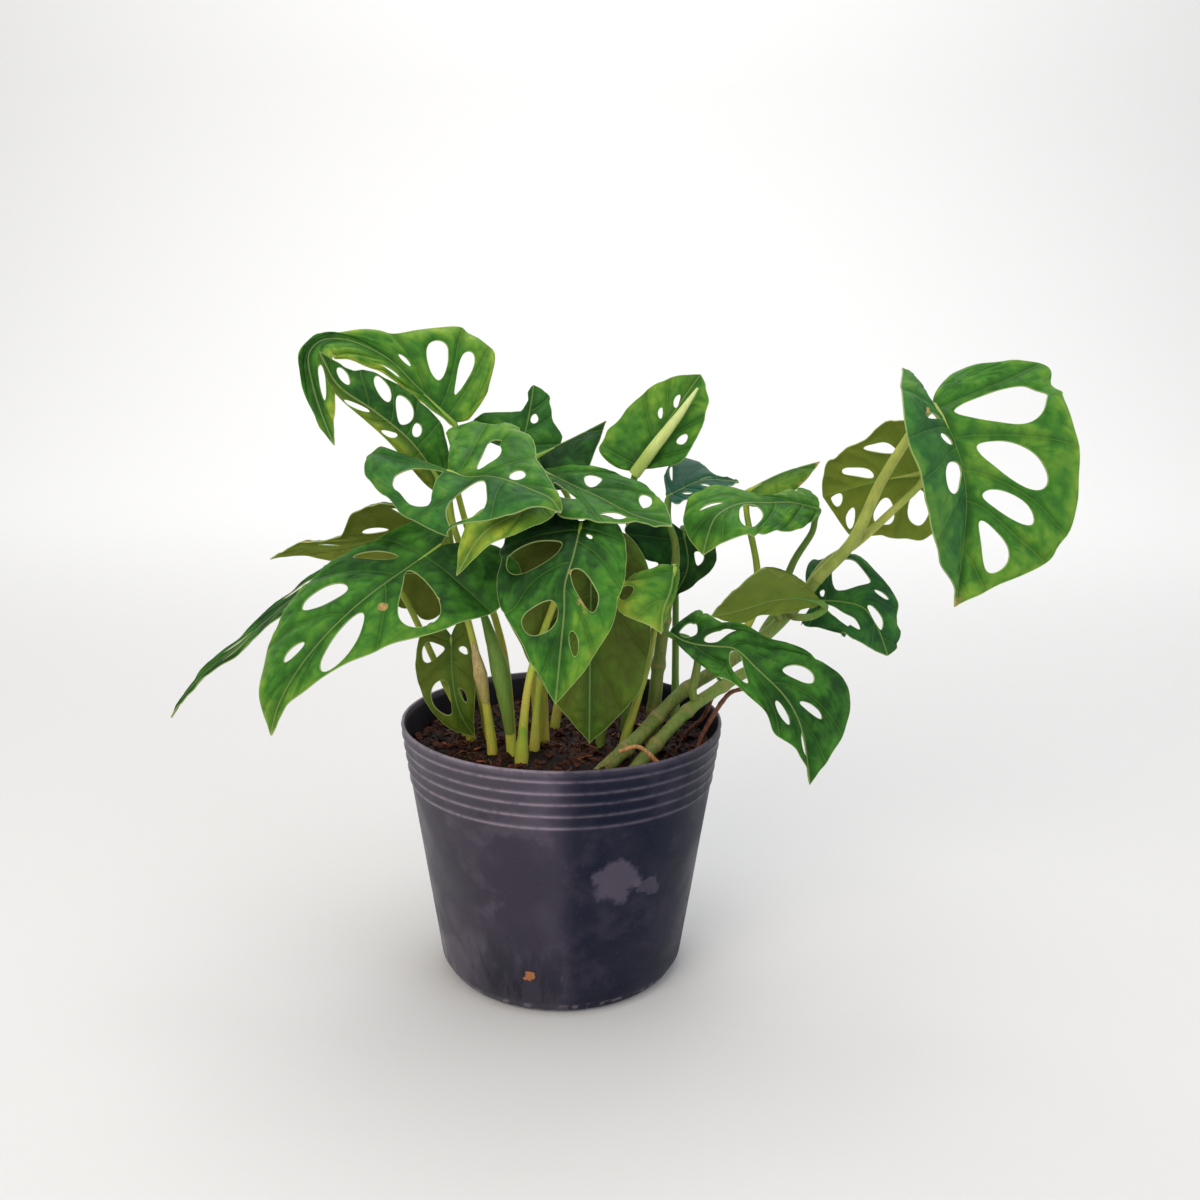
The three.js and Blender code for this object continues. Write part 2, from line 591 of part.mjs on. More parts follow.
// A stalk on a vine starts just clear of its side, or of its end, and first stands off it squarely.
function sprouting({ vine, at, towards }) {
  const { path, radius } = stems.find(({ name }) => name === vine);
  const curve = new THREE.CatmullRomCurve3(planted(path).map(vec), false, 'centripetal');
  const direction = curve.getTangentAt(at);
  let reach = stalk.clear;
  if (towards) {
    direction.multiplyScalar(-vec(towards).dot(direction)).add(vec(towards)).normalize();
    reach += THREE.MathUtils.lerp(...radius, at);
  }
  const foot = curve.getPointAt(at).addScaledVector(direction, reach);
  return [foot.toArray(), foot.clone().addScaledVector(direction, stalk.square).toArray()];
}

// A stem path that starts with a bare [x, y] stands upright in the soil there.
const planted = (path) => {
  const [[x, y, z], ...rest] = path;
  if (z !== undefined) return path;
  return [[x, y, stalk.foot], ...stalk.upright.map((height) => [x, y, height]), ...rest];
};

// How a basal lobe reaches back: nothing at base and tip, fully at a third of the margin
const lobeShape = (q) => (27 / 4) * q * (1 - q) ** 2;

// How much wider a half is at q than the common outline, eased between the entries of its list
function edgeAt({ edge = [1, 1] }, q) {
  const at = q * (edge.length - 1);
  const i = Math.min(Math.floor(at), edge.length - 2);
  return THREE.MathUtils.lerp(edge[i], edge[i + 1], THREE.MathUtils.smoothstep(at - i, 0, 1));
}

// Where the side veins of a half meet its margin, with the leaf's base and tip
function veinsOf({ veins, holes }) {
  const last = Math.max(holes.length - 2, 1);
  const spread = holes.slice(1).map((_, i) => THREE.MathUtils.lerp(blade.first, blade.last, i / last));
  return [0, ...(veins ?? spread), 1];
}

// Place and half size of the hole between two veins
function holeOf(hole, q0, q1) {
  if (Array.isArray(hole)) return hole;
  return [(q0 + q1) / 2, (q1 - q0) * blade.holeWidth * hole, blade.holeMiddle,
    THREE.MathUtils.lerp(...blade.holeLength, hole)];
}

// Point and upper-side normal of a leaf at q, 0 to 1 round the margin, and t, 0 at the rib to 1 at the margin
function leafSurface(leaf) {
  const curve = new THREE.CatmullRomCurve3(leaf.rib.map(vec), false, 'centripetal');
  const length = curve.getLength();
  const faces = leaf.face.map(vec);
  return (side, q, t) => {
    const half = side > 0 ? leaf.right : leaf.left;
    const margin = outline.getPoint(q);
    const width = outline.getPoint(q ** (half.full ?? 1)).y * edgeAt(half, q);
    const reach = margin.x - half.lobe * lobeShape(q);
    const start = q ** (leaf.start ?? blade.start);
    const along = start + (reach - start) * t ** blade.sweep;
    const across = half.w * width * t;
    const held = THREE.MathUtils.clamp(along, 0, 1);
    const tangent = curve.getTangentAt(held);
    const centre = curve.getPointAt(held).addScaledVector(tangent, (along - held) * length);
    const turn = held * (faces.length - 1);
    const stretch = Math.floor(turn);
    const normal = faces[stretch].clone().lerp(faces[stretch + 1] ?? faces[stretch], turn - stretch);
    normal.addScaledVector(tangent, -normal.dot(tangent)).normalize();
    const sideways = normal.clone().cross(tangent).multiplyScalar(side);
    const [foldBase, foldTip = foldBase] = [half.fold].flat();
    const fold = rad(THREE.MathUtils.lerp(foldBase, foldTip, held));
    const bend = rad(half.curl) / half.w;
    const tilt = fold - bend * across;
    const out = (Math.sin(fold) - Math.sin(tilt)) / bend;
    const rise = (Math.cos(tilt) - Math.cos(fold)) / bend;
    const point = centre.addScaledVector(sideways, out).addScaledVector(normal, rise);
    const facing = t === 0 ? normal
      : normal.clone().multiplyScalar(Math.cos(tilt)).addScaledVector(sideways, -Math.sin(tilt));
    return { point, facing };
  };
}

// A leaf blade: a patch between each two veins, open in the middle where the leaf has a hole
function bladeGeometry(leaf) {
  const surface = leafSurface(leaf);
  const points = [];
  const known = new Map();
  const triangles = [];
  const vertex = (side, q, t) => {
    const onRib = t === 0 || q === 0 || q === 1;
    const key = onRib ? `rib ${q}` : `${side} ${q} ${t}`;
    if (!known.has(key)) {
      known.set(key, points.length);
      const { point, facing } = surface(side, q, onRib ? 0 : t);
      points.push({ point, facing, rib: onRib });
    }
    return known.get(key);
  };
  const ribQ = [...new Set([...veinsOf(leaf.left), ...veinsOf(leaf.right)])];
  const power = 1 / (leaf.start ?? blade.start);
  for (const stop of blade.ribStops.map((share) => share ** power)) {
    if (ribQ.every((q) => Math.abs(q - stop) > blade.ribClear)) ribQ.push(stop);
  }
  ribQ.sort((a, b) => a - b);
  for (const side of [1, -1]) {
    const half = side > 0 ? leaf.right : leaf.left;
    const veins = veinsOf(half);
    const add = (a, b, c) => triangles.push(side > 0 ? [a, b, c] : [a, c, b]);
    half.holes.forEach((hole, i) => {
      const [q0, q1] = [veins[i], veins[i + 1]];
      const steps = i === 0 ? blade.baseSteps : blade.marginSteps;
      const loop = [];
      const visit = (q, t) => {
        const id = vertex(side, q, t);
        if (!loop.some((p) => p.id === id)) loop.push({ id, q, t });
      };
      for (const q of ribQ.filter((stop) => stop >= q0 && stop < q1)) visit(q, 0);
      for (let k = 0; k <= blade.veinSteps; k++) visit(q1, k / blade.veinSteps);
      for (let k = 1; k < steps; k++) visit(q1 + ((q0 - q1) * k) / steps, 1);
      for (let k = blade.veinSteps; k > 0; k--) visit(q0, k / blade.veinSteps);
      const [middleQ, halfQ, middleT, halfT, slant = 0] = holeOf(hole, q0, q1);
      const ring = loop.map(({ q, t }) => {
        if (halfQ === 0) return vertex(side, middleQ, middleT);
        const [u, v] = [(2 * (q - q0)) / (q1 - q0) - 1, 2 * t - 1];
        const [x, y] = [u * Math.sqrt(1 - v ** 2 / 2), v * Math.sqrt(1 - u ** 2 / 2)];
        return vertex(side, middleQ + halfQ * x + slant * y, middleT + halfT * y);
      });
      loop.forEach((p, k) => {
        const next = (k + 1) % loop.length;
        add(p.id, loop[next].id, ring[k]);
        if (halfQ > 0) add(loop[next].id, ring[next], ring[k]);
      });
    });
  }
  return thicken(points, triangles);
}

// Gives a sheet of triangles its thickness, with a wall round its margin and round each hole
function thicken(points, triangles) {
  const positions = [];
  const lift = ({ point, facing }, height) => {
    positions.push(...point.clone().addScaledVector(facing, height));
  };
  for (const p of points) lift(p, p.rib ? blade.ribTop : blade.half);
  for (const p of points) lift(p, p.rib ? -blade.ribKeel : -blade.half);
  const under = points.length;
  const edges = new Set();
  for (const [a, b, c] of triangles) for (const [m, n] of [[a, b], [b, c], [c, a]]) edges.add(`${m} ${n}`);
  const index = [];
  for (const [a, b, c] of triangles) {
    index.push(a, b, c, under + a, under + c, under + b);
    for (const [m, n] of [[a, b], [b, c], [c, a]]) {
      if (!edges.has(`${n} ${m}`)) index.push(n, m, under + m, n, under + m, under + n);
    }
  }
  const geometry = new THREE.BufferGeometry();
  geometry.setAttribute('position', new THREE.Float32BufferAttribute(positions, 3));
  return geometry.setIndex(index);
}

// The leaf stalk runs from where it stands to the underside of the rib's first stretch.
function leafStalk(leaf) {
  const surface = leafSurface(leaf);
  const seat = stalk.seat.map((share) => {
    const { point, facing } = surface(1, share ** (1 / (leaf.start ?? blade.start)), 0);
    return point.addScaledVector(facing, -stalk.seatDrop).toArray();
  });
  const start = leaf.grows ? [...sprouting(leaf.grows), ...leaf.stem] : planted(leaf.stem);
  return { path: [...start, ...seat], radius: leaf.thick ?? stalk.radius, detail: stalk.detail };
}

const tubeSolid = ({ path, radius, detail }) => toSolid(tube(path, radius, detail));

function leafSolid(leaf) {
  const solid = toSolid(bladeGeometry(leaf)).add(tubeSolid(leafStalk(leaf)));
  return leaf.spear ? solid.add(tubeSolid({ ...stalk.spear, path: leaf.spear })) : solid;
}

// Outer radius of the pot at a height
const outerAt = (z) => pot.baseRadius + ((pot.rimRadius - pot.baseRadius) * z) / pot.height;

// A profile of [radius, height] pairs turned round the upright axis
function lathe(profile, facets) {
  const geometry = new THREE.LatheGeometry(profile.map(([r, z]) => new THREE.Vector2(r, z)), facets);
  return geometry.rotateX(Math.PI / 2);
}

function potSolid() {
  const { rimRadius, baseRadius, height, wall, floor, heel, lip } = pot;
  const profile = [[0, 0], [baseRadius - heel, 0]];
  for (const turn of [30, 60]) {
    profile.push([baseRadius - heel * (1 - Math.sin(rad(turn))), heel * (1 - Math.cos(rad(turn)))]);
  }
  profile.push([outerAt(heel), heel]);
  for (const drop of [...pot.rings].reverse()) {
    const z = height - drop;
    profile.push([outerAt(z - pot.ringHeight / 2), z - pot.ringHeight / 2]);
    profile.push([outerAt(z) + pot.ringRise, z]);
    profile.push([outerAt(z + pot.ringHeight / 2), z + pot.ringHeight / 2]);
  }
  profile.push([rimRadius, height - lip], [rimRadius - wall / 2, height], [rimRadius - wall, height - lip]);
  profile.push([outerAt(heel) - wall, heel + floor], [baseRadius - heel, floor], [0, floor]);
  return toSolid(lathe(profile, pot.facets));
}

function drill(solid, radius, from, to) {
  const length = vec(from).distanceTo(vec(to));
  const drillBit = new THREE.CylinderGeometry(radius, radius, length, pot.holeFacets);
  drillBit.rotateX(Math.PI / 2).translate(0, 0, length / 2);
  drillBit.lookAt(vec(to).sub(vec(from))).translate(...from);
  return solid.subtract(toSolid(drillBit));
}

function drainedPot() {
  let solid = potSolid();
  for (const turn of pot.baseHoleTurns) {
    const [x, y] = [pot.baseHoleRing * Math.cos(rad(turn)), pot.baseHoleRing * Math.sin(rad(turn))];
    solid = drill(solid, pot.baseHoleRadius, [x, y, -1], [x, y, pot.floor + 1]);
  }
  for (const side of [-1, 1]) {
    const [outside, inside] = [side * pot.rimRadius, side * (pot.baseRadius - pot.heel)];
    solid = drill(solid, pot.drainRadius, [outside, 0, pot.drainHeight], [inside, 0, pot.drainHeight]);
  }
  return solid;
}

function soilSolid(standing) {
  const innerAt = (z) => outerAt(z) - pot.wall - soil.gap;
  const base = pot.floor + soil.gap;
  const bottom = pot.heel + pot.floor;
  const profile = [[0, base], [pot.baseRadius - pot.heel - 1, base], [innerAt(bottom), bottom]];
  const rimRadius = innerAt(soil.top);
  for (let i = 0; i < soil.rows; i++) {
    const share = 1 - i / soil.rows;
    profile.push([rimRadius * share, soil.top + soil.mound * (1 - share ** 2)]);
  }
  profile.push([0, soil.top + soil.mound]);
  const geometry = lathe(profile, soil.facets);
  const position = geometry.getAttribute('position');
  for (let i = 0; i < position.count; i++) {
    const [x, y, z] = [position.getX(i), position.getY(i), position.getZ(i)];
    if (z > soil.top + 0.1) position.setZ(i, z + soil.ripple * Math.sin(x / 7) * Math.cos(y / 6));
  }
  let solid = toSolid(geometry);
  for (const { path, radius, detail } of standing) {
    const [[x, y, z], ...rest] = path;
    if (z > soil.top) continue;
    const wider = radius.map((r) => r + soil.stemClear);
    solid = solid.subtract(tubeSolid({ path: [[x, y, z - soil.stemClear], ...rest], radius: wider, detail }));
  }
  return solid;
}

const plant = new THREE.Group();
plant.name = 'potted_swiss_cheese_vine';
const vines = stems.map((stem) => ({ ...stem, path: planted(stem.path), detail: vineDetail }));
const rootlets = roots.map((root) => ({ ...root, path: planted(root.path), detail: rootDetail }));
plant.add(meshOf('pot', drainedPot(), colours.pot, 0.45));
plant.add(meshOf('soil', soilSolid([...leaves.map(leafStalk), ...vines, ...rootlets]), colours.soil, 0.95));
for (const leaf of leaves) plant.add(meshOf(leaf.name, leafSolid(leaf), colours.leaf, 0.4));
for (const vine of vines) plant.add(meshOf(vine.name, tubeSolid(vine), colours.stem, 0.5));
for (const root of rootlets) plant.add(meshOf(root.name, tubeSolid(root), colours.root, 0.8));

export default plant;
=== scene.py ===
# Potted swiss cheese vine (Monstera adansonii) in a soft nursery pot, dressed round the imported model.
# The tables are in millimetres, as in the part's source, and every mesh is made in metres, +Z up.
import math

import bpy
import numpy as np
from mathutils import Matrix, Vector, noise


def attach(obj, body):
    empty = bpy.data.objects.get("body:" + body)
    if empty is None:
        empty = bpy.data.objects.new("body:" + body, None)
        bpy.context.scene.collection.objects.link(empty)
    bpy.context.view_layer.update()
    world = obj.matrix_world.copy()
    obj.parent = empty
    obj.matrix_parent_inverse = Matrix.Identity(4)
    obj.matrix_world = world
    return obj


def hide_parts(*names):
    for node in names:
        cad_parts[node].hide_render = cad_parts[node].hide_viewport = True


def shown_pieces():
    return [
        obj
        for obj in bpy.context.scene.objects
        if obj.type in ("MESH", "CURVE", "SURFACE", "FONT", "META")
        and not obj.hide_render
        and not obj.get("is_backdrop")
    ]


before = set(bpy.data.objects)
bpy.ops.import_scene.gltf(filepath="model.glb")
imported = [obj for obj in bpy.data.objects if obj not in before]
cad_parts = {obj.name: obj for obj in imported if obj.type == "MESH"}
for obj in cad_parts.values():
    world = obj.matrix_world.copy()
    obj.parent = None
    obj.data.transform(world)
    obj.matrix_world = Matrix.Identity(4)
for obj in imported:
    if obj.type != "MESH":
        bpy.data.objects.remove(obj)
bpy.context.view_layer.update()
scene = bpy.context.scene
mm = 0.001

camera = dict(
    place=(17, -490, 283),
    pitch=12.2,  # degrees down
    roll=0.65,
    lens=32.7,  # on a 36 mm sensor
)

studio = dict(
    floor="#d8d8d8",
    wall="#f2f2f2",
    depth=1300,  # from the pot to the foot of the backdrop
    bend=900,
    height=2600,
    sky=0.62,
    key=dict(place=(-700, -1250, 1050), aim=(0, 0, 150), size=1100, watts=13, tint="#fff4e6"),
    fill=dict(place=(1300, -1000, 600), aim=(0, 0, 150), size=1100, watts=6, tint="#eaf0ff"),
    top=dict(place=(100, 100, 1600), aim=(0, 0, 150), size=1300, watts=7, tint="#ffffff"),
    backdrop=dict(place=(0, 1300, 2500), aim=(0, 2300, 900), size=1500, watts=21, tint="#ffffff"),
)


# General helpers

def linear(hexColour):
    channels = [int(hexColour[i:i + 2], 16) / 255 for i in (1, 3, 5)]
    return [c / 12.92 if c <= 0.04045 else ((c + 0.055) / 1.055) ** 2.4 for c in channels] + [1.0]


# Gives a node's inputs their values, colours, links or nodes
def feed(tree, node, inputs):
    for socket, value in inputs.items():
        if isinstance(value, bpy.types.Node):
            value = next(output for output in value.outputs if output.enabled)
        if isinstance(value, bpy.types.NodeSocket):
            tree.links.new(value, node.inputs[socket])
        else:
            isColour = isinstance(value, str) and value.startswith("#")
            node.inputs[socket].default_value = linear(value) if isColour else value


# Adds a node of any kind, a shader node without its "ShaderNode": its inputs as a dictionary, a ramp's stops,
# and its settings by name
def add(tree, kind, inputs={}, stops=(), **settings):
    made = tree.nodes.new(kind if "Node" in kind else "ShaderNode" + kind)
    for name, value in settings.items():
        setattr(made, name, value)
    feed(tree, made, inputs)
    for _ in stops[2:]:
        made.color_ramp.elements.new(0.5)
    for i, (at, colour) in enumerate(stops):
        made.color_ramp.elements[i].position = at
        made.color_ramp.elements[i].color = linear(colour)
    return made


# Works down a table of steps, each with its name: "ease" or "range" with a source, its low and high value and
# what they become, or else an operation on two sources or numbers
def work(tree, part, steps):
    for name, step, source, *rest in steps:
        if step in ("ease", "range"):
            inputs = {0: part[source], **{i: part.get(value, value) for i, value in enumerate(rest, 1)}}
            smooth = "SMOOTHSTEP" if step == "ease" else "LINEAR"
            part[name] = add(tree, "MapRange", inputs, interpolation_type=smooth)
        else:
            inputs = {i: part.get(value, value) for i, value in enumerate([source, *rest])}
            part[name] = add(tree, "Math", inputs, operation=step)


# A new material with its parts by name: its object coordinates, the same squeezed upright for long streaks,
# attributes of the mesh, and noises laid on either, each with its mm across, detail and roughness
def newMaterial(name, attributes=(), noises=(), squeeze=0):
    material = bpy.data.materials.new(name)
    material.use_nodes = True
    tree = material.node_tree
    part = dict(place=add(tree, "TexCoord").outputs["Object"])
    if squeeze:
        part["long"] = add(tree, "Mapping", {"Vector": part["place"], "Scale": (1, 1, squeeze)})
    for key in attributes:
        part[key] = add(tree, "Attribute", attribute_name=key).outputs["Fac"]
    for key, vector, size, detail, roughness in noises:
        inputs = {"Vector": part[vector], "Scale": 1000 / size, "Detail": detail, "Roughness": roughness}
        part[key] = add(tree, "TexNoise", inputs)
    return material, tree, part


# Lays tints over a base colour, each by its share, and gives the shader this, its bumps and its other inputs
def paint(tree, base, layers, height, strength, deep, **inputs):
    for share, tint in layers:
        base = add(tree, "Mix", {0: share, 6: base, 7: tint}, data_type="RGBA")
    bump = add(tree, "Bump", {"Strength": strength, "Distance": deep * mm, "Height": height})
    inputs = {name.replace("_", " "): value for name, value in inputs.items()}
    feed(tree, tree.nodes["Principled BSDF"], {"Base Color": base, "Normal": bump, **inputs})


def makePiece(name, points, faces, material, values={}, sharp=40):
    mesh = bpy.data.meshes.new(name)
    mesh.from_pydata(np.asarray(points).tolist(), [], faces)
    for key, data in values.items():
        mesh.attributes.new(key, "FLOAT", "POINT").data.foreach_set("value", np.asarray(data, np.float32))
    mesh.shade_smooth()
    mesh.set_sharp_from_angle(angle=math.radians(sharp))
    mesh.materials.append(material)
    piece = bpy.data.objects.new(name, mesh)
    scene.collection.objects.link(piece)
    return piece


# Replaces a piece by the plain mesh that its modifiers make
def makePlain(piece):
    graph = bpy.context.evaluated_depsgraph_get()
    mesh = bpy.data.meshes.new_from_object(piece.evaluated_get(graph), depsgraph=graph)
    piece.modifiers.clear()
    old = piece.data
    piece.data = mesh
    bpy.data.meshes.remove(old)
    mesh.name = piece.name
    return piece


# A new Geometry Nodes tree with inputs for its geometry, its numbers by their defaults, and its material
def newTree(name, sizes):
    tree = bpy.data.node_groups.new(name, "GeometryNodeTree")
    tree.interface.new_socket("Geometry", in_out="OUTPUT", socket_type="NodeSocketGeometry")
    tree.interface.new_socket("Geometry", in_out="INPUT", socket_type="NodeSocketGeometry")
    tree.interface.new_socket("Material", in_out="INPUT", socket_type="NodeSocketMaterial")
    for key, value in sizes.items():
        kind = "NodeSocketInt" if isinstance(value, int) else "NodeSocketFloat"
        tree.interface.new_socket(key, in_out="INPUT", socket_type=kind).default_value = value
    given = {output.name: output for output in add(tree, "NodeGroupInput").outputs}
    return tree, given


def growWith(piece, tree, **inputs):
    grown = piece.modifiers.new(tree.name, "NODES")
    grown.node_group = tree
    sockets = {item.name: item.identifier for item in tree.interface.items_tree if item.in_out == "INPUT"}
    for name, value in inputs.items():
        grown[sockets[name]] = value
    return makePlain(piece)


def standIn(piece, slot, *nodes):
    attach(piece, "root")
    if nodes:
        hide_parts(*nodes)


# Share of the way from low to high, eased at both ends
def ease(value, low, high):
    share = np.clip((value - low) / (high - low), 0, 1)
    return share * share * (3 - 2 * share)


# Camera, floor and lights

def setStage():
    down, turn = math.radians(camera["pitch"]), math.radians(camera["roll"])
    ahead = Vector((0, math.cos(down), -math.sin(down)))
    level, above = Vector((1, 0, 0)), Vector((0, math.sin(down), math.cos(down)))
    right = math.cos(turn) * level + math.sin(turn) * above
    up = math.cos(turn) * above - math.sin(turn) * level
    eye = bpy.data.objects.new("camera", bpy.data.cameras.new("camera"))
    eye.data.lens = camera["lens"]
    eye.data.sensor_width = 36
    eye.data.clip_start = 0.01
    place = Matrix((right, up, -ahead)).transposed().to_4x4()
    place.translation = Vector(camera["place"]) * mm
    eye.matrix_world = place
    scene.collection.objects.link(eye)
    scene.camera = eye

    profile = [(-3000, 0), (studio["depth"], 0)]
    for turn in np.radians(np.linspace(7.5, 90, 12)):
        back = studio["depth"] + studio["bend"] * math.sin(turn)
        profile.append((back, studio["bend"] * (1 - math.cos(turn))))
    profile.append((studio["depth"] + studio["bend"], studio["height"]))
    points = [(x * mm, y * mm, z * mm) for y, z in profile for x in (-4000, 4000)]
    faces = [(2 * i, 2 * i + 1, 2 * i + 3, 2 * i + 2) for i in range(len(profile) - 1)]
    # Matt painted paper sweep: an even pale grey with no gloss
    paper, tree, part = newMaterial("matt_paper_sweep")
    part["back"] = add(tree, "SeparateXYZ", {0: part["place"]}).outputs[1]
    work(tree, part, [("rising", "ease", "back", 0.3, 1.6)])
    tint = add(tree, "Mix", {0: part["rising"], 6: studio["floor"], 7: studio["wall"]}, data_type="RGBA")
    inputs = {"Base Color": tint, "Roughness": 0.9, "Specular IOR Level": 0.1}
    feed(tree, tree.nodes["Principled BSDF"], inputs)
    makePiece("floor", points, faces, paper)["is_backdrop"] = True

    for name in ("key", "fill", "top", "backdrop"):
        lamp = studio[name]
        light = bpy.data.lights.new(name, "AREA")
        light.shape = "DISK"
        light.size = lamp["size"] * mm
        light.energy = lamp["watts"]
        light.color = linear(lamp["tint"])[:3]
        holder = bpy.data.objects.new(name, light)
        holder.location = Vector(lamp["place"]) * mm
        aim = Vector(lamp["aim"]) * mm - holder.location
        holder.rotation_euler = aim.to_track_quat("-Z", "Y").to_euler()
        scene.collection.objects.link(holder)

    world = bpy.data.worlds.new("studio")
    world.use_nodes = True
    background = world.node_tree.nodes["Background"]
    background.inputs["Color"].default_value = linear("#ffffff")
    background.inputs["Strength"].default_value = studio["sky"]
    scene.world = world
    scene.view_settings.view_transform = "Standard"


setStage()
print("stage set")


# Materials of the plant

# Monstera leaf: a waxy skin over soft green tissue. It looks satin, with painted shade deepening the green in
# the grooves along the veins, painted light on the swellings between them, and dull olive underneath.
# Old tissue scorches to tan.
leafFinish = dict(
    greens=[(0, "#081e0a"), (0.25, "#1b4413"), (0.5, "#3c7522"), (0.75, "#6d962f"), (1, "#a9b23c")],
    # colour of the painted shade in the grooves along the veins
    veinGrooveShade="#15400f",
    teal="#1c5544",
    olive="#63661f",
    veinLine="#6a942f",
    midrib="#93a95c",
    under="#6f7d2c",
    # pale edge of the margin and the holes, partly the leaf's own pale rim and partly a painted highlight
    paleRimAndHighlight="#b9c884",
    dried="#b3955c",
    burnt="#3a281a",
    blotch=17,  # mm across a yellow-green blotch
    mottle=4.5,
    fineNet=1.1,  # mm across a mesh of the finest veins
)


def makeLeafMaterial():
    look = leafFinish
    attributes = ("tone", "upper", "cast", "dry", "veinGap", "ribGap", "edgeGap", "netGap")
    noises = [(name, "place", look[name], 3.0, 0.5) for name in ("blotch", "mottle")]
    material, tree, part = newMaterial("monstera_leaf_wax", attributes, noises)
    inputs = {"Vector": part["place"], "Scale": 1000 / look["fineNet"]}
    part["fineNet"] = add(tree, "TexVoronoi", inputs, feature="DISTANCE_TO_EDGE")
    work(tree, part, (
        ("broad", "ease", "blotch", 0.3, 0.7, -0.13, 0.09),
        ("fine", "ease", "mottle", 0.3, 0.7, -0.07, 0.05),
        ("teal", "ease", "cast", 0, 1, 0, 1),
        ("olive", "ease", "cast", -1, 0, 1, 0),
        # painted shade: darker green in the grooves along the side veins, the midrib and the smaller veins,
        # upper side only
        ("veinShade", "ease", "veinGap", 0.3, 3.6, 0.34, 0),
        ("ribShade", "ease", "ribGap", 0.3, 5, 0.5, 0),
        ("netShade", "ease", "netGap", 0, 1.3, 0.15, 0),
        ("fineGrooveShade", "ease", "fineNet", 0, 0.1, 0.1, 0),
        ("veinLine", "ease", "veinGap", 0.1, 0.4, 0.25, 0),
        ("ribLine", "ease", "ribGap", 0.15, 0.5, 0.42, 0),
        # partly painted highlight: a pale line along the margin and the hole edges, over the leaf's own pale
        # rim
        ("rim", "ease", "edgeGap", 0.1, 0.42, 0.5, 0),
        ("back", "ease", "upper", 0, 1, 0.66, 0),
        ("speckle", "ease", "mottle", 0.64, 0.72, 0, 1),
        ("scorch", "ease", "mottle", 0.5, 0.62, 0, 0.5),
        ("char", "ease", "dry", 0.86, 0.98, 0, 0.9),
        ("waxy", "ease", "mottle", 0.3, 0.7, 0.42, 0.56),
        ("dull", "ease", "upper", 0, 1, 0.18, 0),
        ("veinDip", "ease", "veinGap", 0.1, 1.1, -0.8, 0),
        ("netDip", "ease", "netGap", 0, 0.8, -0.4, 0),
        ("fineDip", "ease", "fineNet", 0, 0.2, -0.14, 0),
        ("drift", "ADD", "broad", "fine"),
        ("shade", "ADD", "tone", "drift"),
        ("deep", "MAXIMUM", "veinShade", "ribShade"),
        ("deep", "MULTIPLY", "deep", "upper"),
        ("speckle", "MULTIPLY", "speckle", "dry"),
        ("ragged", "ADD", "dry", "drift"),
        ("ragged", "ADD", "ragged", "drift"),
        ("crisp", "ease", "ragged", 0.42, 0.6, 0, 0.92),
        ("scorch", "MULTIPLY", "crisp", "scorch"),
        ("gloss", "ADD", "waxy", "dull"),
        ("height", "ADD", "veinDip", "netDip"),
        ("height", "ADD", "height", "fineDip"),
        ("height", "ADD", "height", "mottle"),
    ))
    layers = (
        ("deep", "veinGrooveShade"), ("netShade", "veinGrooveShade"), ("fineGrooveShade", "veinGrooveShade"),
        ("veinLine", "veinLine"), ("teal", "teal"), ("olive", "olive"), ("back", "under"),
        ("ribLine", "midrib"), ("speckle", "dried"), ("crisp", "dried"), ("scorch", "burnt"),
        ("rim", "paleRimAndHighlight"), ("char", "burnt"),
    )
    paint(tree, add(tree, "ValToRGB", {0: part["shade"]}, look["greens"]),
          [(part[share], look[tint]) for share, tint in layers], part["height"], 0.55, 0.4,
          Roughness=part["gloss"], IOR=1.45, Specular_IOR_Level=0.15, Subsurface_Weight=0.12,
          Subsurface_Scale=0.001, Subsurface_Radius=(0.6, 1.0, 0.25))
    return material


# Fleshy petiole, vine or root: a smooth skin with long streaks and small corky flecks.
# Colours run from the foot to the tip of the piece along its "share" attribute. Each row has the colours of
# the foot, middle, tip and flecks, then the flecks' share and the roughness.
stemFinishes = dict(
    fleshy_petiole=("#c2b84e", "#aab944", "#7da23a", "#66642a", 0.16, 0.42),
    shaded_petiole=("#75873a", "#668a35", "#55842f", "#3b4a1e", 0.2, 0.45),
    olive_petiole=("#8da048", "#b4bb58", "#9cb04e", "#6b6b33", 0.2, 0.4),
    green_vine_bark=("#5a6426", "#56782f", "#6b9138", "#a08a55", 0.34, 0.5),
    rolled_young_leaf=("#a9bf60", "#c2d07c", "#d2dc98", "#86a04c", 0.2, 0.38),
    aerial_root=("#4a2a20", "#7a4a38", "#8f6148", "#2c1912", 0.5, 0.7),
    dry_aerial_root=("#8a5230", "#bd7d4c", "#cfa06c", "#5a3320", 0.45, 0.7),
    dry_papery_sheath=("#a39a55", "#c0ac74", "#cdb98c", "#7c6237", 0.4, 0.65),
)
stemGrain = dict(streak=1.1, blotch=14, grain=1.4, cork="#9c8458")  # mm across, and the rings' colour


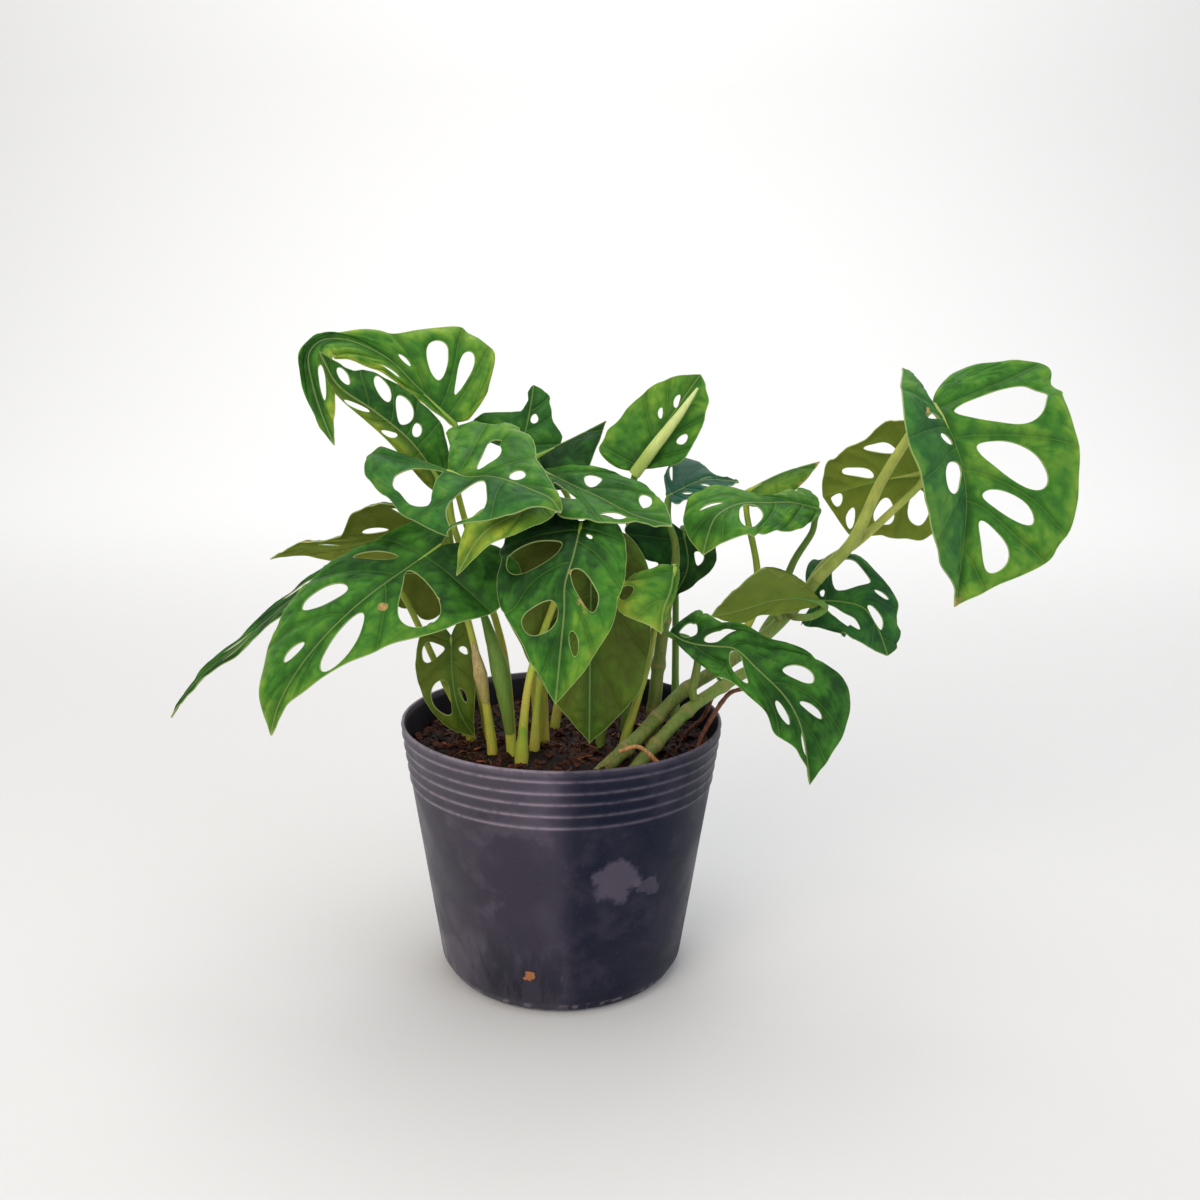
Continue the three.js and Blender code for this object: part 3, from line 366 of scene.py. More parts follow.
def makeStemMaterial(name, foot, middle, tip, fleck, flecks, dull):
    grain = stemGrain
    noises = [("streak", "long", grain["streak"], 3.0, 0.5), ("blotch", "place", grain["blotch"], 3.0, 0.5),
              ("grain", "place", grain["grain"], 3.0, 0.5)]
    material, tree, part = newMaterial(name, ("share", "scar"), noises, squeeze=0.14)
    work(tree, part, (
        ("drift", "range", "blotch", 0.3, 0.7, -0.3, 0.3),
        ("along", "ADD", "share", "drift"),
        ("lined", "range", "streak", 0.42, 0.62, flecks, 0),
        ("dotted", "range", "grain", 0.64, 0.7, 0, flecks * 2),
        ("corky", "MULTIPLY", "scar", 0.8),
        ("dull", "range", "grain", 0.3, 0.7, dull - 0.07, dull + 0.1),
        ("height", "ADD", "streak", "grain"),
    ))
    green = add(tree, "ValToRGB", {0: part["along"]}, [(0, foot), (0.45, middle), (1, tip)])
    layers = [(part["lined"], fleck), (part["dotted"], fleck), (part["corky"], grain["cork"])]
    paint(tree, green, layers, part["height"], 0.35, 0.3,
          Roughness=part["dull"], IOR=1.45, Specular_IOR_Level=0.35)
    return material


leafWax = makeLeafMaterial()
stemSkins = {name: makeStemMaterial(name, *look) for name, look in stemFinishes.items()}
print("plant materials made")


# Paths and tubes

# Centripetal Catmull-Rom curve through the points, as in the part's source, sampled with its arc length
def smoothPath(points, steps=48):
    given = np.array(points, float)
    p = np.vstack([2 * given[0] - given[1], given, 2 * given[-1] - given[-2]])
    t = np.linspace(0, 1, steps, endpoint=False)[:, None]
    runs = []
    for a, b, c, d in zip(p, p[1:], p[2:], p[3:]):
        d0, d1, d2 = (math.sqrt(np.linalg.norm(v)) for v in (b - a, c - b, d - c))
        t1 = d1 * ((b - a) / d0 - (c - a) / (d0 + d1) + (c - b) / d1)
        t2 = d1 * ((c - b) / d1 - (d - b) / (d1 + d2) + (d - c) / d2)
        runs.append(b + t1 * t + (3 * (c - b) - 2 * t1 - t2) * t ** 2 + (2 * (b - c) + t1 + t2) * t ** 3)
    run = np.vstack(runs + [given[-1:]])
    lengths = np.concatenate([[0], np.cumsum(np.linalg.norm(np.diff(run, axis=0), axis=1))])
    heading = np.gradient(run, lengths, axis=0)
    heading /= np.linalg.norm(heading, axis=1)[:, None]
    return dict(points=run, heading=heading, shares=lengths / lengths[-1], length=lengths[-1])


def onPath(path, share, what="points"):
    return np.stack([np.interp(share, path["shares"], path[what][:, k]) for k in range(3)], -1)


# Geometry Nodes tree that sweeps a round skin along a line of points. Each point's "girth" is its radius,
# and at every node of the stem the skin swells and leaves a corky ring in "scar".
def makeTubeTree():
    tree, part = newTree("stem_skin", dict(
        Sides=12, NodeSpacing=0.02, NodeSwell=0.0, ScarWidth=0.0012, Lumps=0.0002, LumpScale=150.0))
    spline = add(tree, "GeometryNodeSplineParameter").outputs
    part["run"] = spline["Length"]
    part["lumpy"] = add(tree, "TexNoise", {"Scale": part["LumpScale"], "Detail": 2.0})
    part["girth"] = add(tree, "GeometryNodeInputNamedAttribute", {0: "girth"})
    work(tree, part, (
        ("turns", "DIVIDE", "run", "NodeSpacing"),
        ("turns", "FRACT", "turns"),
        ("offset", "SUBTRACT", "turns", 0.5),
        ("offset", "ABSOLUTE", "offset"),
        ("away", "MULTIPLY", "offset", "NodeSpacing"),
        ("knobbly", "GREATER_THAN", "NodeSwell", 0.00001),
        ("ring", "ease", "away", 0, "ScarWidth", 1, 0),
        ("scarred", "MULTIPLY", "ring", "knobbly"),
        ("swell", "ease", "away", 0, 0.004, "NodeSwell", 0),
        ("thick", "ADD", "girth", "swell"),
        ("centred", "range", "lumpy", 0, 1, -1, 1),
        ("lift", "MULTIPLY", "centred", "Lumps"),
    ))
    line = add(tree, "GeometryNodeMeshToCurve", {0: part["Geometry"]})
    marked = add(tree, "GeometryNodeStoreNamedAttribute", {0: line, 2: "share", 3: spline["Factor"]})
    marked = add(tree, "GeometryNodeStoreNamedAttribute", {0: marked, 2: "scar", 3: part["scarred"]})
    circle = add(tree, "GeometryNodeCurvePrimitiveCircle", {"Resolution": part["Sides"], "Radius": 1.0})
    skin = add(tree, "GeometryNodeCurveToMesh", {0: marked, 1: circle, 2: part["thick"], 3: True})
    outward = add(tree, "GeometryNodeInputNormal")
    push = add(tree, "VectorMath", {0: outward, "Scale": part["lift"]}, operation="SCALE")
    moved = add(tree, "GeometryNodeSetPosition", {0: skin, 3: push})
    smooth = add(tree, "GeometryNodeSetShadeSmooth", {0: moved})
    whole = add(tree, "GeometryNodeRealizeInstances", {0: smooth})
    done = add(tree, "GeometryNodeSetMaterial", {0: whole, 2: part["Material"]})
    add(tree, "NodeGroupOutput", {0: done})
    return tree


tubeTree = makeTubeTree()


# Makes one piece from a line of points in mm and its radii
def sweep(name, line, radii, skin, **sizes):
    mesh = bpy.data.meshes.new(name)
    mesh.from_pydata((line * mm).tolist(), [(i, i + 1) for i in range(len(line) - 1)], [])
    girth = (radii * mm).astype(np.float32)
    mesh.attributes.new("girth", "FLOAT", "POINT").data.foreach_set("value", girth)
    piece = bpy.data.objects.new(name, mesh)
    scene.collection.objects.link(piece)
    growWith(piece, tubeTree, Material=skin, **sizes)
    piece.data.set_sharp_from_angle(angle=math.radians(50))
    return piece


# Leaf blades

bladeShape = dict(
    sweep=1.35,
    start=2.8,  # power of q that gives where a vein leaves the rib
    first=0.3,
    last=0.88,
    holeMiddle=0.52,
    holeWidth=0.33,
    holeLength=(0.14, 0.35),
    half=0.25,  # half the thickness, mm
    keel=0.8,  # how far the midrib stands out underneath
    veinKeel=0.22,
    veinDip=0.12,
    quilt=0.8,  # how far the blade swells between its veins
    pucker=0.55,  # and between the smaller veins
    cell=7,  # mm across a cell of the smaller veins
    waves=1.3,
    lumps=0.7,
    levels=(0, 0.03, 0.08, 0.16, 0.29, 0.46, 0.66, 0.86, 0.97, 1),
    fineness=1.5,  # mm between two points along a vein or the margin
)

# Half outline: along the rib and across, as shares
outlineKnots = [
    (0, 0), (-0.06, 0.3), (-0.02, 0.66), (0.14, 0.92), (0.34, 1),
    (0.56, 0.9), (0.76, 0.62), (0.91, 0.25), (1, 0),
]


def sampleOutline(steps=150):
    p = np.array(outlineKnots, float)
    p = np.vstack([p[:1], p, p[-1:]])
    t = np.linspace(0, 1, steps, endpoint=False)[:, None]
    runs = []
    for a, b, c, d in zip(p, p[1:], p[2:], p[3:]):
        v0, v1 = (c - a) / 2, (d - b) / 2
        runs.append((2 * (b - c) + v0 + v1) * t ** 3 + (3 * (c - b) - 2 * v0 - v1) * t ** 2 + v0 * t + b)
    line = np.vstack(runs + [p[-1:]])
    return np.linspace(0, 1, len(line)), line[:, 0], line[:, 1]


outlineAt, outlineAlong, outlineAcross = sampleOutline()

# rib, face, left, right, stem, grows, start and thick are as in the part's source. look tells the colours:
# tone from deep green 0 to yellow 1, at base and tip, then what each half and the margin adds to it,
# dry how much of the margin has dried, cast from olive -1 to bluish 1 on the left and right half, wave the
# ripple of the margin in mm, spots the scorched places as side, q, t, radius in mm and strength.
leaves = [
    dict(
        name="leaf_crest",
        rib=[
            [-50, 15, 256], [-67, 13, 272], [-79, 11, 284], [-96, 9, 292], [-107, 6, 292], [-112, 1, 286],
            [-110, -3, 273], [-106, -6, 261], [-100, -10, 247],
        ],
        face=[[0, -0.2, 1], [-0.1, -0.25, 1], [-0.6, -0.6, 0.6], [-0.5, -0.8, 0.3]],
        left=dict(
            w=32, fold=[58, 10], curl=12, lobe=-0.05, full=0.72,
            edge=[0.1, 0.3, 0.9, 1.3, 1.25, 0.38, 0.1, 0.25, 0.4, 0.6, 0.8],
            veins=[0.31, 0.406, 0.49, 0.64, 0.8],
            holes=[0, [0.358, 0.03, 0.52, 0.26], [0.445, 0.02, 0.6, 0.25], [0.53, 0.012, 0.55, 0.08], 0, 0],
        ),
        right=dict(
            w=18, fold=[-40, -10], curl=10, lobe=-0.04, edge=[0.2, 0.2, 0.25, 0.5, 0.8, 1, 1],
            veins=[0.3, 0.5, 0.66, 0.78, 0.9],
            holes=[0, 0, [0.58, 0.03, 0.4, 0.11], 0, [0.835, 0.04, 0.69, 0.12], 0],
        ),
        stem=[[-24, -4], [-28, 6, 150], [-44, 18, 200], [-52, 19, 235]],
        look=dict(tone=(0.5, 0.42), left=0.05, right=0.2, rim=0.26, wave=1.2),
    ),
    dict(
        name="leaf_crest_under",
        rib=[[-57, 1, 233], [-68, -3, 249], [-83, -6, 262], [-98, -8, 273], [-105, -9, 287]],
        face=[[0.45, -0.75, 0.4]],
        left=dict(
            w=22, fold=0, curl=10, lobe=0.02, edge=[0.6, 0.65, 0.9, 1, 1],
            veins=[0.44, 0.53, 0.632, 0.75, 0.92],
            holes=[
                0, [0.497, 0.026, 0.31, 0.16], [0.58, 0.04, 0.48, 0.34], [0.67, 0.03, 0.68, 0.28],
                [0.845, 0.035, 0.65, 0.26], 0,
            ],
        ),
        right=dict(
            w=8, fold=-20, curl=10, lobe=0.02, edge=[1, 1.1, 1, 0.8, 0.7, 0.7], veins=[0.4, 0.64, 0.85],
            holes=[0, [0.56, 0.02, 0.58, 0.29], [0.725, 0.03, 0.58, 0.34], 0],
        ),
        start=1.9,
        stem=[[-34, -4], [-42, -2, 150], [-49, -2, 190], [-54, 0, 222]],
        # right=0.4 paints the lower half lighter and yellower: partly its own pale, drying tissue, partly
        # painted light
        look=dict(tone=(0.42, 0.36), right=0.4, cast=(0, -0.5), dry=0.3, wave=1),
    ),
    dict(
        name="leaf_shield",
        rib=[
            [-48, -25, 238], [-40, -31, 236], [-30, -38, 237], [-21, -45, 236], [-11, -51, 233],
            [-3, -56, 230], [1, -59, 225],
        ],
        face=[[0, -0.6, 0.8], [0.2, -0.5, 0.8]],
        left=dict(
            w=36, fold=[12, 0], curl=45, lobe=0.68,
            edge=[0.05, 0.05, 0.05, 0.4, 0.6, 0.7, 0.9, 1.2, 1.2, 1.1, 0.8], veins=[0.26, 0.61, 0.79],
            holes=[0, [0.44, 0.115, 0.52, 0.33, 0.11], [0.7, 0.07, 0.54, 0.42, 0.02], 0],
        ),
        right=dict(
            w=36, fold=5, curl=10, lobe=0.33, edge=[2.8, 2.1, 1.1, 1.05, 1, 1.1, 1, 0.7, 0.6, 0.5, 1],
            veins=[0.4, 0.68, 0.85],
            holes=[0, [0.549, 0.083, 0.43, 0.26, -0.035], [0.778, 0.03, 0.37, 0.22, -0.016], 0],
        ),
        stem=[[-22, -24], [-27, -24, 150], [-41, -14, 192], [-48, -17, 216]],
        look=dict(tone=(0.5, 0.52), left=-0.08, rim=0.12, cast=(0.25, 0), dry=0.15, wave=0.8),
    ),
    dict(
        name="leaf_lime_tip",
        rib=[[-7, -41, 226], [-17, -49, 223], [-30, -57, 216], [-41, -58, 199]],
        face=[[0.1, -0.6, 0.8], [-0.4, -0.8, 0.3]],
        left=dict(w=11, fold=0, curl=10, lobe=0, holes=[0, 0.4, 0, 0]),
        right=dict(w=10, fold=0, curl=20, lobe=0, edge=[1, 1, 0.8, 0.6, 0.6], holes=[0, 0, 0, 0]),
        stem=[[-12, -20], [-8, -12, 160], [-3, -16, 205], [-1, -27, 222]],
        look=dict(tone=(0.8, 0.92), wave=0.4),
    ),
    dict(
        name="leaf_wing",
        rib=[
            [-52, -26, 206], [-64, -34, 198], [-76, -43, 190], [-86, -50, 182], [-97, -56, 171],
            [-107, -60, 158], [-114, -63, 145], [-117, -66, 133],
        ],
        face=[[-0.1, -0.6, 0.8], [-0.6, -0.8, 0.4]],
        left=dict(
            w=30, fold=0, curl=20, lobe=0.05, edge=[0.9, 0.9, 1.15, 1.45, 1.55, 1.5],
            veins=[0.4, 0.58, 0.76, 0.9],
            holes=[0, [0.488, 0.027, 0.5, 0.25], [0.677, 0.042, 0.51, 0.23], [0.833, 0.017, 0.47, 0.14], 0],
        ),
        right=dict(
            w=36, fold=0, curl=25, lobe=0.14, full=0.85, edge=[1.1, 1.15, 1.2, 1.15, 1, 0.8, 0.6, 0.5, 0.6],
            veins=[0.4, 0.63, 0.82], holes=[0, [0.54, 0.05, 0.48, 0.42], [0.725, 0.05, 0.59, 0.35], 0],
        ),
        stem=[[-31, -22], [-36, -24, 150], [-46, -20, 188]],
        look=dict(
            tone=(0.34, 0.62), rim=0.15, wave=1,
            spots=[(1, 0.635, 0.42, 2.4, 0.8), (1, 0.495, 0.63, 1.6, 1)],
        ),
    ),
    dict(
        name="leaf_arch",
        rib=[[-57, 12, 206], [-79, 18, 204], [-104, 22, 197], [-128, 28, 194], [-143, 30, 189]],
        face=[[0, 0.7, 0.7]],
        left=dict(
            w=40, fold=-40, curl=10, lobe=0.01, holes=[0, 0, 0, 0, 0],
            edge=[1.6, 0.8, 1.2, 0.9, 0.2, 0.15, 0.1],
        ),
        right=dict(
            w=24, fold=0, curl=20, lobe=-0.01, full=0.5, holes=[0, 0.3, 0.3, 0.2, 0],
            edge=[0.25, 0.6, 0.9, 1.75, 1.55, 0.55, 0.8, 0.9, 1],
        ),
        stem=[[-36, 6], [-44, 14, 150], [-53, 18, 190]],
        look=dict(tone=(0.5, 0.5), rim=0.1, cast=(-0.8, -0.6), dry=0.34, wave=0.8),
    ),
    dict(
        name="leaf_blade_left",
        rib=[
            [-83, 2, 190], [-100, 2, 189], [-115, 3, 183], [-128, 4, 173], [-141, 5, 162], [-152, 6, 152],
            [-165, 6, 142], [-178, 6, 129], [-187, 6, 116],
        ],
        face=[[-0.3, -0.3, 1], [-0.5, -0.45, 0.7]],
        left=dict(w=10, fold=5, curl=10, lobe=0.1, holes=[0, 0.3, 0.5, 0.3, 0]),
        right=dict(w=8, fold=5, curl=10, lobe=0.1, holes=[0, 0.3, 0.5, 0.3, 0]),
        stem=[[-43, -4], [-55, -6, 140], [-74, -2, 180]],
        look=dict(tone=(0.4, 0.3), wave=1),
    ),
    dict(
        name="leaf_mask",
        rib=[[9, -41, 219], [6, -56, 207], [3, -66, 197], [3, -73, 188], [2, -78, 176], [0, -82, 153]],
        face=[[-0.05, -0.6, 0.8], [0, -1, 0.2]],
        left=dict(
            w=34, fold=0, curl=25, lobe=-0.01, edge=[1.6, 1.5, 1.35, 1.05, 0.85, 0.8, 0.65, 0.6, 0.7],
            veins=[0.37, 0.63, 0.85],
            holes=[0, [0.5, 0.08, 0.55, 0.38, -0.01], [0.745, 0.049, 0.55, 0.34, -0.036], 0],
        ),
        right=dict(
            w=25, fold=0, curl=25, lobe=0, edge=[0.95, 1, 0.95, 0.9, 0.9, 0.9, 0.85, 0.9, 0.9],
            veins=[0.33, 0.5, 0.745, 0.9],
            holes=[
                0, [0.408, 0.022, 0.21, 0.06], [0.663, 0.05, 0.4, 0.34], [0.823, 0.022, 0.54, 0.19, -0.008],
                0,
            ],
        ),
        stem=[[-17, -32], [-13, -36, 150], [0, -32, 190], [7, -33, 210]],
        look=dict(
            # tone 0.08 at the base paints the top of the blade very dark: partly its own deep green, partly
            # painted shade under the cap leaf
            tone=(0.08, 0.56), right=0.2, rim=0.12, dry=0.05, wave=0.8,
            spots=[(1, 0.7, 0.51, 5, 0.62), (1, 0.705, 0.7, 4, 0.5), (1, 0.67, 0.08, 1.8, 0.6)],
        ),
    ),
    dict(
        name="leaf_bright",
        rib=[[48, -42, 201], [46, -50, 192], [43, -55, 185], [42, -59, 176]],
        face=[[0, -0.8, 0.7], [0, -1, 0.2]],
        left=dict(
            w=24, fold=0, curl=10, lobe=-0.08, edge=[0.5, 0.5, 0.5, 0.75, 0.8, 0.95, 1.15, 0.7, 0.6],
            veins=[0.45, 0.8], holes=[0, [0.673, 0.043, 0.84, 0.12, -0.018], 0],
        ),
        right=dict(w=8, fold=-50, curl=10, lobe=0, edge=[0.5, 0.5], holes=[0, 0, 0]),
        stem=[[28, -22], [38, -20, 150], [44, -30, 188]],
        look=dict(tone=(0.62, 0.8), rim=0.1, wave=0.6),
    ),
    dict(
        name="leaf_cap",
        rib=[[-10, -12, 238], [2, -20, 233], [16, -31, 228], [31, -42, 222], [46, -50, 219]],
        face=[[0.1, -0.35, 0.9], [0.5, -0.5, 0.7]],
        left=dict(
            w=20, fold=0, curl=15, lobe=-0.14, edge=[0.2, 0.25, 0.7, 0.95, 1.1, 0.9, 0.4, 0.55, 0.65],
            veins=[0.4, 0.65, 0.85],
            holes=[0, [0.54, 0.06, 0.4, 0.18, 0.04], [0.72, 0.05, 0.84, 0.08, -0.01], 0],
        ),
        right=dict(
            w=30, fold=[25, 20], curl=20, lobe=-0.15,
            edge=[0.05, 0.05, 0.25, 0.55, 0.6, 0.7, 0.8, 1.05, 1.3], veins=[0.47, 0.695, 0.88],
            holes=[0, [0.6, 0.05, 0.37, 0.19, -0.06], [0.785, 0.05, 0.74, 0.14, -0.05], 0],
        ),
        stem=[[-8, -10], [-10, -2, 160], [-16, 0, 205], [-15, -4, 229]],
        look=dict(tone=(0.42, 0.5), rim=0.08, cast=(0.1, 0.1), wave=0.8),
    ),
    dict(
        name="leaf_back_lobe",
        rib=[[-22, 34, 242], [-19, 37, 254], [-17, 40, 265], [-16, 42, 273]],
        face=[[0.1, -0.9, 0.3]],
        left=dict(
            w=18, fold=0, curl=10, lobe=-0.01, edge=[2.3, 1.5, 1, 1, 1, 0.7, 0.8, 1.45, 2.6],
            veins=[0.45, 0.66, 0.84], holes=[0, 0, [0.748, 0.044, 0.31, 0.16, -0.021], 0],
        ),
        right=dict(
            w=25, fold=10, curl=20, lobe=-0.07, edge=[1.15, 1.15, 1.25, 1.1, 0.9, 0.15, 0.1, 0.3, 0.6],
            veins=[0.4, 0.7], holes=[0, 0, 0],
        ),
        stem=[[-4, 12], [2, 24, 150], [4, 34, 190], [0, 34, 222]],
        look=dict(tone=(0.46, 0.5), cast=(0.25, 0.25), wave=0.6),
    ),
    dict(
        name="leaf_upright",
        rib=[[33, 10, 236], [44, 14, 253], [55, 18, 269], [62, 20, 279]],
        face=[[-0.3, -0.9, 0.3]],
        left=dict(
            w=15, fold=10, curl=10, lobe=-0.16, edge=[0.8, 0.85, 1.25, 1.1, 1.1, 1.45, 2.5],
            veins=[0.45, 0.66], holes=[0, [0.563, 0.04, 0.69, 0.11, -0.02], 0],
        ),
        right=dict(
            w=22, fold=10, curl=10, lobe=0.02, edge=[0.7, 1.2, 1.3, 1.05, 0.9, 0.9, 1, 1.25, 1.35],
            veins=[0.3, 0.66, 0.8, 0.92],
            holes=[0, 0, [0.75, 0.015, 0.37, 0.12], [0.86, 0.02, 0.24, 0.2], 0],
        ),
        stem=[[30, 10], [30, 18, 150], [30, 22, 200], [31, 14, 226]],
        spear=[[32, 9, 234], [41, 6, 247], [51, 8, 260], [60, 11, 273]],
        look=dict(tone=(0.5, 0.6), rim=0.12, wave=0.6),
    ),
    dict(
        name="leaf_dark_edge", rib=[[-14, 18, 241], [3, 22, 249], [19, 27, 257]], face=[[-0.3, 0.4, 0.9]],
        left=dict(w=24, fold=-80, curl=10, lobe=0.05, edge=[1, 1, 0.9, 0.6, 0.5], holes=[0, 0, 0]),
        right=dict(w=12, fold=-20, curl=20, lobe=0.1, holes=[0, 0, 0]),
        stem=[[-12, 4], [-16, 14, 160], [-20, 18, 215]],
        look=dict(tone=(0.22, 0.24), cast=(0.1, 0.1), wave=0.5),
    ),
    dict(
        name="leaf_blue", rib=[[48, 12, 224], [64, 13, 231], [80, 9, 231]], face=[[0, -0.3, 1]],
        left=dict(
            w=15, fold=0, curl=20, lobe=-0.08, edge=[1.45, 1.1, 0.7, 0.65, 0.85, 1.05, 0.6],
            veins=[0.35, 0.6, 0.85], holes=[0, 0.3, 0.3, 0],
        ),
        right=dict(
            w=15, fold=10, curl=10, lobe=-0.05, edge=[0.1, 0.3, 1.4, 2.2, 0.35, 0.4, 1.5],
            veins=[0.35, 0.6, 0.85], holes=[0, 0.3, 0.2, 0],
        ),
        grows=dict(vine="vine_upright", at=1),
        stem=[[51, 6, 204], [48, 8, 213]],
        look=dict(tone=(0.2, 0.3), cast=(0.75, 0.75), wave=0.8),
    ),
    dict(
        name="leaf_right_nod",
        rib=[
            [114, -8, 221], [100, -18, 225], [87, -28, 226], [78, -36, 227], [71, -41, 226], [64, -46, 222],
            [61, -48, 215], [59, -50, 207],
        ],
        face=[[0.1, -0.6, 0.8], [-0.6, -0.7, 0.4]],
        left=dict(
            w=17, fold=0, curl=20, lobe=0.03, edge=[3, 2.4, 1.7, 0.7, 0.35, 0.35, 1.9, 2.6, 2.9],
            veins=[0.3, 0.55, 0.8, 0.9], holes=[0, 0, 0, [0.852, 0.008, 0.5, 0.2], 0],
        ),
        right=dict(
            w=19, fold=0, curl=20, lobe=-0.14, edge=[0.3, 0.45, 0.7, 0.85, 0.85, 1, 1.45, 1.55, 1.55],
            veins=[0.3, 0.5, 0.69, 0.87], holes=[0, 0, 0, [0.78, 0.05, 0.43, 0.34, -0.03], 0],
        ),
        grows=dict(vine="vine_front", at=0.84, towards=[-0.2, -0.5, 1]),
        stem=[[105, 1, 195], [113, 0, 210], [113, -5, 218]],
        look=dict(tone=(0.5, 0.48), rim=0.1, wave=0.8),
    ),
    dict(
        name="leaf_folded", rib=[[84, 12, 227], [101, 15, 235], [118, 17, 240]], face=[[0, 0.3, 1]],
        left=dict(w=12, fold=-60, curl=30, lobe=0.05, holes=[0, 0, 0]),
        right=dict(w=12, fold=-30, curl=20, lobe=0.05, holes=[0, 0, 0]),
        grows=dict(vine="vine_front", at=0.71, towards=[0, 0.6, 1]),
        stem=[[89, 8, 170], [90, 9, 190], [84, 10, 218]],
        look=dict(tone=(0.56, 0.6), cast=(-0.3, -0.3), dry=0.5, wave=0.8),
    ),
    dict(
        name="leaf_olive", rib=[[166, 14, 236], [144, 19, 231], [122, 26, 223]], face=[[0.05, 0.9, 0.3]],
        left=dict(
            w=29, fold=0, curl=20, lobe=0.07, edge=[1.4, 1.25, 1.3, 1.2, 1.05, 1.05, 1.3, 2.6, 3],
            veins=[0.27, 0.53, 0.78, 0.902],
            holes=[
                0, [0.398, 0.096, 0.5, 0.28], [0.66, 0.07, 0.6, 0.23, -0.02], [0.865, 0.018, 0.71, 0.2],
                [0.938, 0.022, 0.42, 0.33],
            ],
        ),
        right=dict(
            w=28, fold=0, curl=20, lobe=0.1, edge=[1.1, 0.8, 1.05, 1.1, 1.15, 0.9, 1.05, 1.75, 2.8],
            veins=[0.3, 0.5, 0.695, 0.88],
            holes=[0, 0, [0.595, 0.036, 0.66, 0.21, 0.043], [0.79, 0.047, 0.38, 0.25, 0.02], 0],
        ),
        grows=dict(vine="vine_front", at=0.94, towards=[0.3, 1, 0]),
        stem=[[122, 12, 193], [134, 7, 203], [150, 8, 218], [164, 10, 232]],
        thick=[2.4, 1.5],
        look=dict(tone=(0.76, 0.8), rim=0.08, cast=(-0.45, -0.45), wave=0.8),
    ),
    dict(
        name="leaf_hero",
        rib=[
            [155, -28, 268], [158, -34, 262], [162, -39, 252], [165, -43, 240], [166, -46, 228],
            [165, -49, 214], [163, -52, 187],
        ],
        face=[[0.15, -0.9, 0.4], [0.1, -1, 0.1]],
        left=dict(
            w=34, fold=45, curl=20, lobe=0.18, full=1.2,
            edge=[2.3, 1.25, 0.6, 0.7, 0.85, 1.05, 1, 1, 0.85, 0.4, 0.1], veins=[0.4, 0.505, 0.61, 0.76],
            holes=[
                0, [0.46, 0.01, 0.39, 0.18], [0.559, 0.023, 0.21, 0.13, -0.018],
                [0.68, 0.045, 0.31, 0.26, -0.014], 0,
            ],
        ),
        right=dict(
            w=58, fold=0, curl=10, lobe=0.16, edge=[0.7, 1.05, 1.45, 1.4, 1.1, 1, 1, 1.05, 1.25, 1.05, 0.65],
            veins=[0.29, 0.565, 0.695, 0.782, 0.895],
            holes=[
                0, [0.43, 0.1, 0.47, 0.37, 0.027], [0.632, 0.044, 0.45, 0.3, 0.014],
                [0.738, 0.025, 0.44, 0.27, -0.012], [0.835, 0.03, 0.53, 0.3, 0.017], 0,
            ],
        ),
        grows=dict(vine="vine_front", at=1),
        stem=[[131, 0, 205], [142, -4, 234], [153, -16, 260]], thick=[3, 1.8],
        look=dict(
            tone=(0.5, 0.58), left=-0.06, right=0.05, rim=0.14, cast=(0.3, 0), wave=0.6,
            spots=[(-1, 0.45, 0.52, 2.2, 0.8), (1, 0.98, 0.8, 4, 0.6)],
        ),
    ),
    dict(
        name="leaf_flag",
        rib=[[119, 14, 175], [131, 11, 175], [140, 8, 173], [146, 4, 165], [151, 0, 152]],
        face=[[0.3, -0.9, 0.5]],
        left=dict(
            w=15, fold=0, curl=20, lobe=0.09, edge=[3, 2.3, 1.2, 0.95, 1, 1.25, 1.35, 1.55, 1.9],
            veins=[0.3, 0.86], holes=[0, [0.588, 0.1, 0.44, 0.29, 0.12], 0],
        ),
        right=dict(
            w=26, fold=0, curl=20, lobe=0.08, full=1.2, edge=[2.2, 1.85, 1.55, 1.1, 1.15, 0.8, 0.65, 1, 2.5],
            veins=[0.43, 0.638, 0.7, 0.93],
            holes=[
                [0.368, 0.04, 0.16, 0.08], [0.541, 0.085, 0.54, 0.34], [0.668, 0.012, 0.72, 0.1],
                [0.82, 0.07, 0.22, 0.2, -0.02], 0,
            ],
        ),
        grows=dict(vine="vine_front", at=0.77, towards=[0, 1, 0]),
        stem=[[102, 16, 169]],
        look=dict(tone=(0.36, 0.42), cast=(0.3, 0.3), wave=0.8),
    ),
    dict(
        name="leaf_olive_fold",
        rib=[
            [118, -4, 178], [110, -9, 181], [100, -14, 182], [91, -17, 181], [80, -20, 178], [66, -22, 175],
        ],
        face=[[0, 0.8, 0.6]],
        left=dict(
            w=14, fold=-20, curl=20, lobe=-0.11, edge=[0.2, 0.4, 0.5, 0.55, 0.55, 0.45, 0.7, 0.8, 0.6],
            veins=[0.3, 0.7], holes=[0, 0, 0],
        ),
        right=dict(
            w=14, fold=10, curl=20, lobe=-0.18, edge=[0.4, 0.3, 0.4, 0.65, 1.25, 2.4, 1.6, 1.7, 1.75],
            veins=[0.3, 0.7], holes=[0, 0, 0],
        ),
        grows=dict(vine="vine_front", at=0.87, towards=[0.2, -1, -0.2]),
        stem=[[114, -3, 171], [120, -3, 175]],
        look=dict(tone=(0.66, 0.62), cast=(-0.35, -0.35), dry=0.12, wave=0.6),
    ),
    dict(
        name="leaf_low_right",
        rib=[
            [47, -38, 171], [52, -42, 169], [58, -45, 168], [66, -48, 168], [73, -51, 168], [82, -57, 161],
            [93, -63, 151], [98, -65, 143], [101, -66, 134], [104, -68, 115],
        ],
        face=[[0.1, -0.8, 0.6], [0.3, -1, 0.1]],
        left=dict(
            w=20, fold=0, curl=10, lobe=-0.12,
